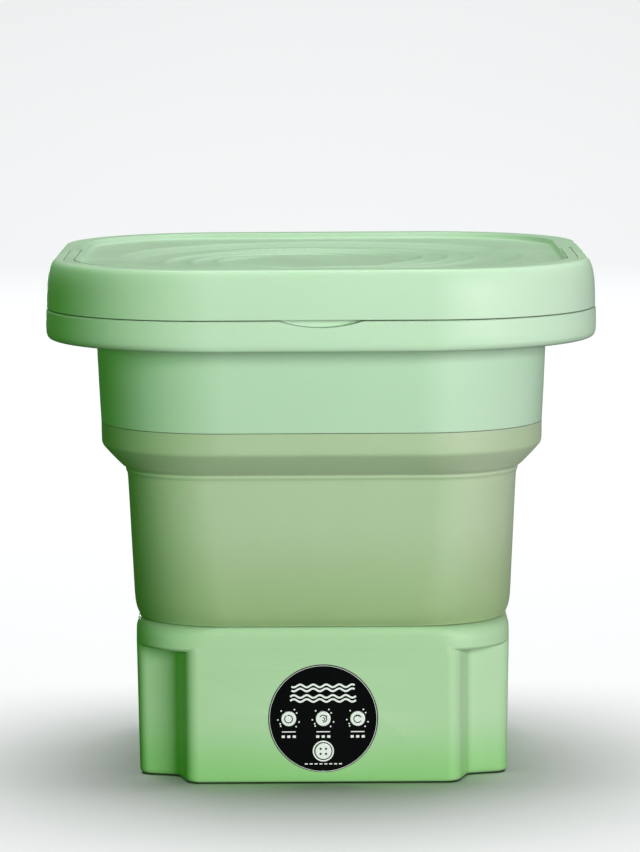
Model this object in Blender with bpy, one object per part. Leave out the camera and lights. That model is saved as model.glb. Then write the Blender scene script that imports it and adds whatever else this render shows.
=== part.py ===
"""Portable mini washer: a folding bucket washing machine with a lift-out spin basket.

Frame: metres, +Z up, front towards -Y, origin on the floor under the centre of the outline.
Each sub-part is one closed solid. Touching sub-parts keep a gap of about 0.3 mm.
"""
import math

import bmesh
import bpy
from mathutils import Matrix, Vector

MM = 0.001
GAP = 0.3 * MM

# Driving dimensions ---------------------------------------------------------------------
RIM_HALF = 170.0 * MM          # half the width of the top rim, which is square in plan
LID_TOP_Z = 321.2 * MM
PARTING_Z = 291.0 * MM         # the lid meets the rim
RIM_BOTTOM_Z = 272.2 * MM
BAND_BOTTOM_Z = 220.0 * MM     # the rigid upper band ends and the soft barrel starts
NECK_Z = 193.0 * MM
BASE_TOP_Z = 98.0 * MM
NOTCH_TOP_Z = 83.2 * MM        # the base's corner notches end below this height
BASE_BOTTOM_Z = 0.8 * MM

BAND_HALF_TOP = 139.9 * MM
BAND_HALF_BOTTOM = 137.0 * MM
NECK_HALF = 121.6 * MM
BASE_HALF_TOP = 116.0 * MM
BASE_HALF_BOTTOM = 114.6 * MM
ARM_HALF = 83.3 * MM           # half the width of each proud panel of the plus-shaped base
NOTCH_VERTEX = 90.5 * MM       # each notch's inner corner, along X and along Y

# Distance from the axis to the centres of the corner arcs, one for each family of outlines.
RIM_CENTRE = 67.0 * MM
BAND_CENTRE = 60.0 * MM
NECK_CENTRE = 70.0 * MM
BASE_CENTRE = 57.0 * MM
SHOULDER_CENTRE = 73.0 * MM    # the base's ring has tighter corners than the tub above it
TUB_CENTRE = 55.0 * MM

WALL = 2.6 * MM
SOFT_WALL = 2.5 * MM
CORNER_STEPS = 5
ROUND_STEPS = 24

# Lid hinge, along X behind the tub
HINGE_Y = 167.6 * MM
HINGE_Z = 296.5 * MM
KNUCKLE_RADIUS = 3.0 * MM
HINGE_PIN_RADIUS = 1.3 * MM
HINGE_SPACING = 70.0 * MM      # centre of each hinge from the middle of the lid
LID_KNUCKLE_LENGTH = 19.0 * MM
LUG_LENGTH = 8.0 * MM

# Carry handle, a strap in a channel in the top of the lid's ridge
HANDLE_Y = 2.0 * MM
HANDLE_Z = 315.2 * MM
HANDLE_INNER = 152.3 * MM
HANDLE_OUTER = 158.5 * MM
HANDLE_BOTTOM_Z = 317.9 * MM
HANDLE_EYE_RADIUS = 4.0 * MM
HANDLE_PIN_RADIUS = 1.4 * MM
HANDLE_PIN_LENGTH = 10.9 * MM
HANDLE_PIN_INNER_X = 149.6 * MM

# Control panel on the base's front
PANEL_Z = 41.0 * MM
PANEL_FACE_Y = -115.3 * MM
PANEL_RADIUS = 33.5 * MM
PANEL_SKIRT_RADIUS = 28.8 * MM
BUTTON_SPACING = 21.2 * MM
BUTTON_RADIUS = 4.6 * MM
POWER_DROP = 20.3 * MM
POWER_RADIUS = 5.0 * MM

# Drive train: a motor beside the centre turns the pulsator through a belt
SHAFT_RADIUS = 4.0 * MM
BEARING_RADIUS = 8.0 * MM
DRIVEN_PULLEY_RADIUS = 42.5 * MM
MOTOR_PULLEY_RADIUS = 7.5 * MM
MOTOR_X = -66.0 * MM
BELT_Z = 63.0 * MM
BELT_HALF_HEIGHT = 1.1 * MM
BELT_THICKNESS = 2.0 * MM
TUB_FLOOR_Z = 89.0 * MM
PULSATOR_Z = 91.4 * MM
PULSATOR_RADIUS = 62.0 * MM

# Rear fittings
DRAIN_Y = 80.0 * MM
DRAIN_Z = 46.0 * MM
SPOUT_END_Y = 136.0 * MM
PIPE_OUTER = 8.0 * MM
PIPE_INNER = 6.0 * MM
SOCKET_X = 40.0 * MM
SOCKET_Z = 35.0 * MM
REAR_FACE_Y = 115.2 * MM

COVER_SCREW_X = 62.0 * MM
COVER_SCREW_Y = 104.0 * MM
COLUMN_BOTTOM_Z = 5.8 * MM     # the screw columns stand on the cover
COLUMN_TOP_Z = 30.0 * MM
MOTOR_POST_X = (-104.0 * MM, -49.0 * MM)
MOTOR_POST_Y = (-21.0 * MM, 21.0 * MM)
MOTOR_SCREW_Y = 12.0 * MM
SOCKET_HOLE_RADIUS = 5.8 * MM
FOOT_X = 96.0 * MM
FOOT_Y = 56.0 * MM


# Materials ------------------------------------------------------------------------------
def linear(channel):
    """Turn a display colour channel from 0 to 255 into a linear one."""
    value = channel / 255.0
    if value <= 0.04045:
        return value / 12.92
    return ((value + 0.055) / 1.055) ** 2.4


def make_material(name, colour, roughness, metallic=0.0):
    material = bpy.data.materials.new(name)
    material.use_nodes = True
    shader = material.node_tree.nodes["Principled BSDF"]
    rgb = [linear(channel) for channel in colour]
    shader.inputs["Base Color"].default_value = (*rgb, 1.0)
    shader.inputs["Roughness"].default_value = roughness
    shader.inputs["Metallic"].default_value = metallic
    return material


FINISHES = {
    "green_plastic": ((176, 212, 176), 0.38, 0.0),
    "soft_green": ((160, 182, 148), 0.55, 0.0),
    "white_plastic": ((238, 240, 240), 0.35, 0.0),
    "gloss_black": ((14, 14, 16), 0.12, 0.0),
    "rubber": ((52, 54, 54), 0.8, 0.0),
    "steel": ((190, 192, 196), 0.3, 1.0),
    "board_green": ((24, 92, 56), 0.5, 0.0),
    "basket_blue": ((120, 176, 214), 0.4, 0.0),
}


# Mesh building --------------------------------------------------------------------------
def rounded_ring(half, centre, z, steps=CORNER_STEPS):
    """Points of a square with round corners; a centre of 0 gives a circle."""
    points = []
    for quadrant in range(4):
        start = quadrant * math.pi / 2
        sign_x = 1 if quadrant in (0, 3) else -1
        sign_y = 1 if quadrant in (0, 1) else -1
        for step in range(steps + 1):
            part = step / steps if centre > 0 else (step + 0.5) / (steps + 1)
            angle = start + part * math.pi / 2
            x = sign_x * centre + (half - centre) * math.cos(angle)
            y = sign_y * centre + (half - centre) * math.sin(angle)
            points.append((x, y, z))
    return points


def arc(centre_x, centre_y, radius, start, end, steps):
    points = []
    for step in range(steps + 1):
        angle = math.radians(start + (end - start) * step / steps)
        points.append((centre_x + radius * math.cos(angle), centre_y + radius * math.sin(angle)))
    return points


def filleted(before, corner, after, radius, steps):
    """Points of the arc that rounds a corner between two neighbouring (x, y) points."""
    corner = Vector(corner)
    incoming = (Vector(before) - corner).normalized()
    outgoing = (Vector(after) - corner).normalized()
    half_angle = math.acos(incoming.dot(outgoing)) / 2
    centre = corner + (incoming + outgoing).normalized() * (radius / math.sin(half_angle))
    touch = radius / math.tan(half_angle)
    first = corner + incoming * touch - centre
    last = corner + outgoing * touch - centre
    turn = math.atan2(first.x * last.y - first.y * last.x, first.dot(last))
    points = []
    for step in range(steps + 1):
        angle = turn * step / steps
        x = first.x * math.cos(angle) - first.y * math.sin(angle)
        y = first.x * math.sin(angle) + first.y * math.cos(angle)
        points.append((centre.x + x, centre.y + y))
    return points


def plus_ring(half, inset, z, outer_fillet=9.0 * MM, inner_fillet=5.0 * MM):
    """Points of the plus-shaped outline, with its notches' drafted walls moved in by inset."""
    arm = ARM_HALF - inset
    vertex = NOTCH_VERTEX - inset
    low = (half, arm)
    notch = (vertex, vertex)
    high = (arm, half)
    quadrant = filleted((half, 0), low, notch, outer_fillet, 3)
    quadrant += filleted(low, notch, high, inner_fillet, 2)
    quadrant += filleted(notch, high, (0, half), outer_fillet, 3)
    points = []
    for turn in range(4):
        cosine = round(math.cos(turn * math.pi / 2))
        sine = round(math.sin(turn * math.pi / 2))
        for x, y in quadrant:
            points.append((cosine * x - sine * y, sine * x + cosine * y, z))
    return points


def add_object(name, mesh_data, finish, location=(0, 0, 0), rotation=(0, 0, 0)):
    """Turn a bmesh into a named, smooth-shaded object with its own material."""
    bmesh.ops.recalc_face_normals(mesh_data, faces=mesh_data.faces)
    mesh = bpy.data.meshes.new(name)
    mesh_data.to_mesh(mesh)
    mesh_data.free()
    mesh.shade_smooth()
    mesh.set_sharp_from_angle(angle=math.radians(32))
    part = bpy.data.objects.new(name, mesh)
    part.location = location
    part.rotation_euler = rotation
    bpy.context.scene.collection.objects.link(part)
    if finish:
        mesh.materials.append(make_material(name, *FINISHES[finish]))
    return part


def loft(rings, closed=False):
    """Join rings of equal length; the ends are capped, or joined when closed."""
    body = bmesh.new()
    rows = [[body.verts.new(point) for point in ring] for ring in rings]
    pairs = list(zip(rows, rows[1:]))
    if closed:
        pairs.append((rows[-1], rows[0]))
    else:
        body.faces.new(rows[0])
        body.faces.new(rows[-1])
    for lower, upper in pairs:
        count = len(lower)
        for index in range(count):
            after = (index + 1) % count
            body.faces.new((lower[index], lower[after], upper[after], upper[index]))
    return body


def turned(profile, steps=ROUND_STEPS):
    """Spin (radius, height) points about Z; an end at radius 0 is a flat cap or a pole."""
    body = bmesh.new()
    rows = []
    caps = []
    for index, (radius, height) in enumerate(profile):
        if radius == 0:
            neighbour = profile[1] if index == 0 else profile[-2]
            if neighbour[1] == height:
                caps.append(index)
                continue
        row = []
        for step in range(steps if radius > 0 else 1):
            angle = 2 * math.pi * step / steps
            row.append(body.verts.new((radius * math.cos(angle), radius * math.sin(angle), height)))
        rows.append(row)
    pairs = list(zip(rows, rows[1:]))
    if profile[0][0] > 0:
        pairs.append((rows[-1], rows[0]))
    for index in caps:
        body.faces.new(rows[0] if index == 0 else rows[-1])
    for lower, upper in pairs:
        for index in range(steps):
            after = (index + 1) % steps
            corners = [lower[index % len(lower)], lower[after % len(lower)],
                       upper[after % len(upper)], upper[index % len(upper)]]
            body.faces.new(list(dict.fromkeys(corners)))
    return body


def scaled(points):
    return [(radius * MM, height * MM) for radius, height in points]


def box(low, high):
    body = bmesh.new()
    size = [top - bottom for bottom, top in zip(low, high)]
    middle = Vector([(bottom + top) / 2 for bottom, top in zip(low, high)])
    matrix = Matrix.Translation(middle) @ Matrix.Diagonal((*size, 1))
    bmesh.ops.create_cube(body, size=1.0, matrix=matrix)
    return body


def cylinder(start, axis, length, radius, steps=16):
    """A solid cylinder from a start point along the axis X, Y or Z."""
    body = bmesh.new()
    turns = {"X": Matrix.Rotation(math.pi / 2, 4, "Y"), "Y": Matrix.Rotation(-math.pi / 2, 4, "X"),
             "Z": Matrix.Identity(4)}
    matrix = Matrix.Translation(start) @ turns[axis] @ Matrix.Translation((0, 0, length / 2))
    bmesh.ops.create_cone(body, cap_ends=True, segments=steps, radius1=radius, radius2=radius,
                          depth=length, matrix=matrix)
    return body


def extrude_along_x(outline, low, high):
    """Extrude a (y, z) outline from low to high along X."""
    return loft([[(x, y, z) for y, z in outline] for x in (low, high)])


def extrude_along_y(outline, low, high):
    """Extrude an (x, z) outline from low to high along Y."""
    return loft([[(x, y, z) for x, z in outline] for y in (low, high)])


def combine(part, tools, operation):
    """Cut tools from a part, or join them to it, with exact booleans."""
    for tool_mesh in tools:
        tool = add_object("tool", tool_mesh, None)
        modifier = part.modifiers.new("combine", "BOOLEAN")
        modifier.operation = operation
        modifier.solver = "EXACT"
        modifier.object = tool
        graph = bpy.context.evaluated_depsgraph_get()
        result = bpy.data.meshes.new_from_object(part.evaluated_get(graph))
        part.modifiers.clear()
        part.data = result
        bpy.data.objects.remove(tool)
    return part


def cut(part, *tools):
    return combine(part, tools, "DIFFERENCE")


def join(part, *tools):
    return combine(part, tools, "UNION")


def joint_empty(name, location):
    """An empty on a joint's axis, which carries the pieces that move together."""
    empty = bpy.data.objects.new(name, None)
    empty.empty_display_size = 20 * MM
    empty.location = location
    bpy.context.scene.collection.objects.link(empty)
    return empty


def carry(empty, parts):
    """Parent parts to an empty and leave them where they are."""
    for part in parts:
        part.parent = empty
        part.matrix_parent_inverse = Matrix.Translation(empty.location).inverted()


# Base -----------------------------------------------------------------------------------
def base_housing():
    """Plus-shaped lower casing under a round-cornered ring, open below and in its deck."""
    edge = 1.2 * MM
    housing = add_object("base_housing", loft([
        plus_ring(BASE_HALF_BOTTOM - edge, edge, BASE_BOTTOM_Z),
        plus_ring(BASE_HALF_BOTTOM - 0.3 * MM, 0.3 * MM, BASE_BOTTOM_Z + edge),
        plus_ring(BASE_HALF_BOTTOM, 0, BASE_BOTTOM_Z + 4 * MM),
        plus_ring(BASE_HALF_TOP - 0.2 * MM, 0, NOTCH_TOP_Z + 2 * MM)]), "green_plastic")
    join(housing, loft([
        rounded_ring(BASE_HALF_TOP, SHOULDER_CENTRE, NOTCH_TOP_Z),
        rounded_ring(BASE_HALF_TOP, SHOULDER_CENTRE, BASE_TOP_Z - 8 * MM),
        rounded_ring(BASE_HALF_TOP, SHOULDER_CENTRE - 3 * MM, BASE_TOP_Z - 4 * MM),
        rounded_ring(BASE_HALF_TOP - edge, SHOULDER_CENTRE - 8 * MM, BASE_TOP_Z - edge),
        rounded_ring(BASE_HALF_TOP - 3 * MM, BASE_CENTRE, BASE_TOP_Z)]))
    inner = BASE_HALF_BOTTOM - WALL
    deck = BASE_TOP_Z - WALL
    cut(housing,
        loft([plus_ring(inner, WALL, -1 * MM),
              plus_ring(inner + 0.6 * MM, WALL, NOTCH_TOP_Z + WALL + MM)]),
        loft([rounded_ring(BASE_HALF_TOP - WALL, SHOULDER_CENTRE - 6 * MM, NOTCH_TOP_Z + WALL),
              rounded_ring(BASE_HALF_TOP - WALL, BASE_CENTRE + 6 * MM, deck)]),
        loft([rounded_ring(104 * MM, TUB_CENTRE, deck - 5 * MM),
              rounded_ring(104 * MM, TUB_CENTRE, BASE_TOP_Z + 5 * MM)]))
    columns = []
    holes = []
    for x in (-COVER_SCREW_X, COVER_SCREW_X):
        for y in (-COVER_SCREW_Y, COVER_SCREW_Y):
            wall_y = math.copysign(BASE_HALF_BOTTOM - MM, y)
            rib_low = (x - 1.5 * MM, min(y, wall_y), COLUMN_BOTTOM_Z)
            rib_high = (x + 1.5 * MM, max(y, wall_y), COLUMN_TOP_Z)
            columns.append(cylinder((x, y, COLUMN_BOTTOM_Z), "Z", COLUMN_TOP_Z - COLUMN_BOTTOM_Z, 5 * MM, 10))
            columns.append(box(rib_low, rib_high))
            holes.append(cylinder((x, y, 5 * MM), "Z", 17 * MM, 1.7 * MM, 8))
    join(housing, *columns)
    front = PANEL_FACE_Y - 10 * MM
    cut(housing, *holes,
        cylinder((0, front, PANEL_Z), "Y", 11.5 * MM, PANEL_RADIUS + GAP, 28),
        cylinder((0, front, PANEL_Z), "Y", 20 * MM, PANEL_SKIRT_RADIUS + GAP, 28),
        cylinder((0, REAR_FACE_Y - 10 * MM, DRAIN_Z), "Y", 20 * MM, PIPE_OUTER + 0.4 * MM),
        cylinder((SOCKET_X, REAR_FACE_Y - 10 * MM, SOCKET_Z), "Y", 20 * MM, SOCKET_HOLE_RADIUS))
    return housing


def bottom_cover():
    """Plate that closes the base, with four posts for the motor bracket."""
    inset = WALL + 0.4 * MM
    half = BASE_HALF_BOTTOM - inset
    plate = loft([plus_ring(half, inset, 3.0 * MM), plus_ring(half, inset, 5.5 * MM)])
    cover = add_object("bottom_cover", plate, "green_plastic")
    posts = []
    for x in MOTOR_POST_X:
        for y in MOTOR_POST_Y:
            posts.append(cylinder((x, y, 4.5 * MM), "Z", 47.5 * MM, 3.5 * MM, 8))
    join(cover, *posts)
    for x in (-COVER_SCREW_X, COVER_SCREW_X):
        for y in (-COVER_SCREW_Y, COVER_SCREW_Y):
            cut(cover, cylinder((x, y, 0), "Z", 10 * MM, 1.9 * MM, 8),
                cylinder((x, y, 0), "Z", 4.3 * MM, 3.9 * MM, 12))
    return cover


def foot(name, x, y):
    profile = scaled([(0, 0), (8.2, 0), (9, 0.8), (9, 2.7), (0, 2.7)])
    return add_object(name, turned(profile, 16), "rubber", (x, y, 0))


def screw(name, x, y, head_z, head_radius, head_height, shank_radius, shank_length, points_up):
    """A screw with its head's outer face at head_z and its shank running up or down."""
    profile = [(0, 0), (head_radius * 0.85, 0), (head_radius, 0.3 * MM), (head_radius, head_height),
               (shank_radius, head_height), (shank_radius, head_height + shank_length),
               (0, head_height + shank_length + shank_radius * 0.6)]
    rotation = (0, 0, 0) if points_up else (math.pi, 0, 0)
    return add_object(name, turned(profile, 8), "steel", (x, y, head_z), rotation)


def tub_floor():
    """Rigid bottom of the tub: a flanged pan with a bearing boss and a drain outlet."""
    bore = BEARING_RADIUS + GAP
    floor = add_object("tub_floor", loft([
        rounded_ring(bore, 0, 70 * MM), rounded_ring(13 * MM, 0, 70 * MM),
        rounded_ring(13 * MM, 0, 86 * MM), rounded_ring(99 * MM, TUB_CENTRE, 86 * MM),
        rounded_ring(103.5 * MM, TUB_CENTRE, 89 * MM), rounded_ring(103.5 * MM, TUB_CENTRE, 98.3 * MM),
        rounded_ring(111.4 * MM, TUB_CENTRE, 98.3 * MM), rounded_ring(111.4 * MM, TUB_CENTRE, 100.3 * MM),
        rounded_ring(101 * MM, TUB_CENTRE, 100.3 * MM), rounded_ring(101 * MM, TUB_CENTRE, 91.5 * MM),
        rounded_ring(98 * MM, TUB_CENTRE, TUB_FLOOR_Z), rounded_ring(12.5 * MM, 0, TUB_FLOOR_Z),
        rounded_ring(11.5 * MM, 0, 90.6 * MM), rounded_ring(bore, 0, 90.6 * MM)], closed=True),
        "white_plastic")
    join(floor, cylinder((0, DRAIN_Y, 76 * MM), "Z", 11 * MM, 11 * MM, 24))
    cut(floor, cylinder((0, DRAIN_Y, 75 * MM), "Z", 9 * MM, PIPE_OUTER + GAP, 24),
        cylinder((0, DRAIN_Y, 80 * MM), "Z", 15 * MM, PIPE_INNER, 24))
    return floor


def drain_strainer():
    """Perforated disc over the drain hole."""
    strainer = add_object("drain_strainer", turned(scaled([(0, 0), (8.5, 0), (8.5, 1.0), (7.5, 1.4),
                                                           (0, 1.4)]), 16),
                          "white_plastic")
    for index in range(6):
        angle = index * math.pi / 3
        start = (4.6 * MM * math.cos(angle), 4.6 * MM * math.sin(angle), -MM)
        cut(strainer, cylinder(start, "Z", 4 * MM, 1.3 * MM, 6))
    strainer.location = (0, DRAIN_Y, TUB_FLOOR_Z + GAP)
    return strainer


def drain_pipe():
    """Elbow from the tub floor down and out through the rear of the base."""
    bend = 12 * MM
    path = [(DRAIN_Y, 83.7 * MM, 0), (DRAIN_Y, DRAIN_Z + bend, 0)]
    for step in range(1, 4):
        angle = step * math.pi / 8
        path.append((DRAIN_Y + bend * (1 - math.cos(angle)), DRAIN_Z + bend * (1 - math.sin(angle)), angle))
    path.append((SPOUT_END_Y - 6 * MM, DRAIN_Z, math.pi / 2))
    path.append((SPOUT_END_Y, DRAIN_Z, math.pi / 2))
    rings = []
    for radius, stations in ((PIPE_OUTER, path), (PIPE_INNER, path[::-1])):
        for y, z, tilt in stations:
            ring = []
            for step in range(12):
                angle = step * math.pi / 6
                across = radius * math.sin(angle)
                ring.append((radius * math.cos(angle), y + across * math.cos(tilt),
                             z + across * math.sin(tilt)))
            rings.append(ring)
    return add_object("drain_pipe", loft(rings, closed=True), "white_plastic")


def drain_cap():
    """Push-in plug of the drain spout; it pulls straight out to the rear."""
    profile = scaled([(0, -9), (5.2, -9), (5.7, -8), (5.7, 0.3), (10, 0.3), (10, 3.7), (9.2, 4.5), (0, 4.5)])
    return add_object("drain_cap", turned(profile, 16), "rubber", (0, SPOUT_END_Y, DRAIN_Z),
                      (-math.pi / 2, 0, 0))


def dc_socket():
    """Low-voltage power inlet with its centre pin, in the rear of the base."""
    profile = scaled([(0, -11), (5.5, -11), (5.5, 0.3), (7.5, 0.3), (7.5, 1.8), (7.0, 2.2), (2.9, 2.2),
                      (2.9, -7), (1.0, -7), (1.0, 0), (0, 0)])
    return add_object("dc_socket", turned(profile, 16), "gloss_black",
                      (SOCKET_X, REAR_FACE_Y, SOCKET_Z), (-math.pi / 2, 0, 0))


def socket_nut():
    """Six-sided nut inside the wall; the radii are those of the hexagons' corners."""
    profile = scaled([(6.8, -5.4), (9, -5.4), (9, -3.2), (6.8, -3.2)])
    nut = add_object("socket_nut", turned(profile, 6), "steel")
    nut.location = (SOCKET_X, REAR_FACE_Y, SOCKET_Z)
    nut.rotation_euler = (-math.pi / 2, 0, 0)
    return nut


# Control panel --------------------------------------------------------------------------
FACING_FRONT = (math.pi / 2, 0, 0)


def button_places():
    """Name, offset across, offset up and radius of each button, from the panel's centre."""
    return [("mode_button_left", -BUTTON_SPACING, 0.0, BUTTON_RADIUS),
            ("mode_button_middle", 0.0, 0.0, BUTTON_RADIUS),
            ("mode_button_right", BUTTON_SPACING, 0.0, BUTTON_RADIUS),
            ("power_button", 0.0, -POWER_DROP, POWER_RADIUS)]


def control_panel():
    """Glossy round fascia with a skirt that reaches back to the circuit board."""
    skirt = PANEL_SKIRT_RADIUS
    panel = add_object("control_panel", turned([
        (0, 0.6 * MM), (PANEL_RADIUS - 0.6 * MM, 0.6 * MM), (PANEL_RADIUS, 0), (PANEL_RADIUS, -1.2 * MM),
        (skirt, -1.2 * MM), (skirt, -10.1 * MM), (skirt - 1.8 * MM, -10.1 * MM),
        (skirt - 1.8 * MM, -1.2 * MM), (0, -1.2 * MM)], 28), "gloss_black")
    for _, across, up, radius in button_places():
        cut(panel, cylinder((across, up, -5 * MM), "Z", 10 * MM, radius + GAP, 16))
    panel.location = (0, PANEL_FACE_Y, PANEL_Z)
    panel.rotation_euler = FACING_FRONT
    return panel


def push_button(name, across, up, radius):
    """Button cap with a flange that keeps it behind the fascia."""
    profile = [(0, -5.6 * MM), (radius, -5.6 * MM), (radius, -2.9 * MM), (radius + 0.8 * MM, -2.9 * MM),
               (radius + 0.8 * MM, -1.6 * MM), (radius, -1.6 * MM), (radius, 1.1 * MM),
               (radius - 0.4 * MM, 1.5 * MM), (0, 1.5 * MM)]
    return add_object(name, turned(profile, 16), "white_plastic",
                      (across, PANEL_FACE_Y, PANEL_Z + up), FACING_FRONT)


def tact_switch(name, across, up):
    low = (across - 3 * MM, PANEL_FACE_Y + 6.6 * MM, PANEL_Z + up - 3 * MM)
    high = (across + 3 * MM, PANEL_FACE_Y + 10.1 * MM, PANEL_Z + up + 3 * MM)
    return add_object(name, box(low, high), "gloss_black")


def control_board():
    """Round circuit board behind the fascia."""
    profile = scaled([(0, -12.0), (30, -12.0), (30, -10.4), (0, -10.4)])
    return add_object("control_board", turned(profile, 24), "board_green",
                      (0, PANEL_FACE_Y, PANEL_Z), FACING_FRONT)


# Drive train ----------------------------------------------------------------------------
def motor_case():
    """Vertical motor can with a pilot boss and two screw holes."""
    profile = scaled([(0, 8), (17.5, 8), (18.5, 9), (18.5, 51), (17.5, 52), (5, 52), (5, 54), (1.9, 54),
                      (1.9, 46), (0, 46)])
    case = add_object("motor_case", turned(profile, 20), "steel")
    for y in (-MOTOR_SCREW_Y, MOTOR_SCREW_Y):
        cut(case, cylinder((0, y, 46 * MM), "Z", 10 * MM, 1.5 * MM, 10))
    case.location = (MOTOR_X, 0, 0)
    return case


def motor_bracket():
    """Plate on the cover's posts, which the motor hangs from."""
    plate = box((-110 * MM, -26 * MM, 52.3 * MM), (-44 * MM, 26 * MM, 54.3 * MM))
    bracket = add_object("motor_bracket", plate, "steel")
    cut(bracket, cylinder((MOTOR_X, 0, 50 * MM), "Z", 8 * MM, 5.4 * MM))
    for y in (-MOTOR_SCREW_Y, MOTOR_SCREW_Y):
        cut(bracket, cylinder((MOTOR_X, y, 50 * MM), "Z", 8 * MM, 1.5 * MM, 10))
    return bracket


def motor_shaft():
    profile = scaled([(0, 46.4), (1.6, 46.4), (1.6, 68), (0, 68)])
    return add_object("motor_shaft", turned(profile, 10), "steel", (MOTOR_X, 0, 0))


def motor_pulley():
    """Small grooved pulley on the motor's shaft."""
    groove = MOTOR_PULLEY_RADIUS
    flange = groove + 2 * MM
    profile = [(1.9 * MM, -4.5 * MM), (flange, -4.5 * MM), (flange, -3 * MM), (groove, -1 * MM),
               (groove, 1 * MM), (flange, 3 * MM), (flange, 4.5 * MM), (1.9 * MM, 4.5 * MM)]
    return add_object("motor_pulley", turned(profile, 16), "white_plastic", (MOTOR_X, 0, BELT_Z))


def driven_pulley():
    """Large grooved pulley under the tub."""
    groove = DRIVEN_PULLEY_RADIUS
    flange = groove + 3 * MM
    bore = SHAFT_RADIUS + GAP
    profile = [(bore, -5.5 * MM), (9 * MM, -5.5 * MM), (9 * MM, -1.5 * MM), (groove - 4 * MM, -1.5 * MM),
               (groove - 3 * MM, -4 * MM), (flange, -4 * MM), (groove, -1.5 * MM), (groove, 1.5 * MM),
               (flange, 4 * MM), (groove - 3 * MM, 4 * MM), (groove - 4 * MM, 1.5 * MM),
               (9 * MM, 1.5 * MM), (9 * MM, 6.4 * MM), (bore, 6.4 * MM)]
    return add_object("driven_pulley", turned(profile), "white_plastic", (0, 0, BELT_Z))


def drive_belt():
    """Endless belt round both pulleys: two arcs and their common tangents."""
    rings = []
    spread = DRIVEN_PULLEY_RADIUS - MOTOR_PULLEY_RADIUS
    tangent = math.degrees(math.acos(spread / abs(MOTOR_X)))
    low = BELT_Z - BELT_HALF_HEIGHT
    high = BELT_Z + BELT_HALF_HEIGHT
    for offset, z in ((GAP, low), (GAP + BELT_THICKNESS, low), (GAP + BELT_THICKNESS, high), (GAP, high)):
        outline = arc(0, 0, DRIVEN_PULLEY_RADIUS + offset, tangent - 180, 180 - tangent, 20)
        outline += arc(MOTOR_X, 0, MOTOR_PULLEY_RADIUS + offset, 180 - tangent, 180 + tangent, 8)
        rings.append([(x, y, z) for x, y in outline])
    return add_object("drive_belt", loft(rings, closed=True), "rubber")


def drive_shaft():
    """Central shaft with a threaded hole in its top end."""
    profile = scaled([(0, 57.5), (3.6, 57.5), (4, 57.9), (4, 99.6), (3.6, 100), (1.8, 100), (1.8, 90.5),
                      (0, 90.5)])
    return add_object("drive_shaft", turned(profile, 16), "steel")


def bearing(name, z):
    profile = scaled([(4.4, 0), (8, 0), (8, 5), (4.4, 5)])
    return add_object(name, turned(profile, 16), "steel", (0, 0, z))


def shaft_seal():
    profile = scaled([(4.4, 0.2), (8, 0), (8, 4.6), (6, 4.6), (5.4, 3.4), (4.4, 4.0)])
    return add_object("shaft_seal", turned(profile, 16), "rubber", (0, 0, 85.6 * MM))


def pulsator():
    """Bladed disc in the tub, with a post that the basket sits over."""
    radius = PULSATOR_RADIUS
    disc = add_object("pulsator", turned([
        (4.3 * MM, 0), (radius - 1 * MM, 0), (radius, 1 * MM), (radius - 0.5 * MM, 2.4 * MM),
        (radius - 8 * MM, 3.8 * MM), (14 * MM, 5.0 * MM), (10 * MM, 7 * MM), (9 * MM, 10 * MM),
        (8.6 * MM, 24 * MM), (8 * MM, 24.6 * MM), (4.6 * MM, 24.6 * MM), (4.6 * MM, 12.2 * MM),
        (1.9 * MM, 12.2 * MM), (1.9 * MM, 8.9 * MM), (4.3 * MM, 8.9 * MM)]), "white_plastic")
    for index in range(4):
        fin = box((8.8 * MM, -2 * MM, 3 * MM), (radius - 6 * MM, 2 * MM, 12.8 * MM))
        bmesh.ops.rotate(fin, verts=fin.verts,
                         matrix=Matrix.Rotation((index + 0.25) * math.pi / 2, 3, "Z"))
        join(disc, fin)
    cut(disc, cylinder((0, 0, 8.9 * MM + 3.3 * MM), "Z", 20 * MM, 4.6 * MM, ROUND_STEPS))
    disc.location = (0, 0, PULSATOR_Z)
    return disc


def spin_basket():
    """Lift-out basket whose central dome drops over the pulsator's post."""
    profile = scaled([(0, 121), (9, 121), (11.6, 119.5), (12.4, 108), (92, 107.4), (97.5, 111), (101, 179),
                      (101.6, 180), (104.5, 180), (104.5, 177.2), (103.2, 177.2), (99.6, 110), (94.5, 104.6),
                      (9.6, 104.6), (9.6, 118.6), (0, 118.6)])
    basket = add_object("spin_basket", turned(profile, 28), "basket_blue")
    for index in range(8):
        slot = box((90 * MM, -2 * MM, 125 * MM), (110 * MM, 2 * MM, 165 * MM))
        bmesh.ops.rotate(slot, verts=slot.verts,
                         matrix=Matrix.Rotation((index + 0.3) * math.pi / 4, 3, "Z"))
        cut(basket, slot)
    return basket


# Tub and lid ----------------------------------------------------------------------------
def soft_barrel():
    """Flexible wall between the base and the upper band: a shoulder, a neck and a straight fall."""
    outer = [
        (BAND_HALF_BOTTOM, BAND_CENTRE, BAND_BOTTOM_Z - GAP), (136.8 * MM, BAND_CENTRE, 209 * MM),
        (135.8 * MM, 61 * MM, 205.6 * MM), (132.2 * MM, 63 * MM, 201.8 * MM), (128 * MM, 66 * MM, 197.8 * MM),
        (123.8 * MM, 69 * MM, 194.2 * MM), (NECK_HALF, NECK_CENTRE, NECK_Z - 1 * MM),
        (120.4 * MM, NECK_CENTRE, 188 * MM), (118.8 * MM, 66 * MM, 150 * MM),
        (117.4 * MM, 60 * MM, 110 * MM), (115.8 * MM, BASE_CENTRE, 101.5 * MM),
        (114.4 * MM, BASE_CENTRE, BASE_TOP_Z + GAP)]
    inner = [(half - SOFT_WALL, centre, z) for half, centre, z in reversed(outer)]
    rings = [rounded_ring(half, centre, z) for half, centre, z in outer + inner]
    return add_object("soft_barrel", loft(rings, closed=True), "soft_green")


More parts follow.
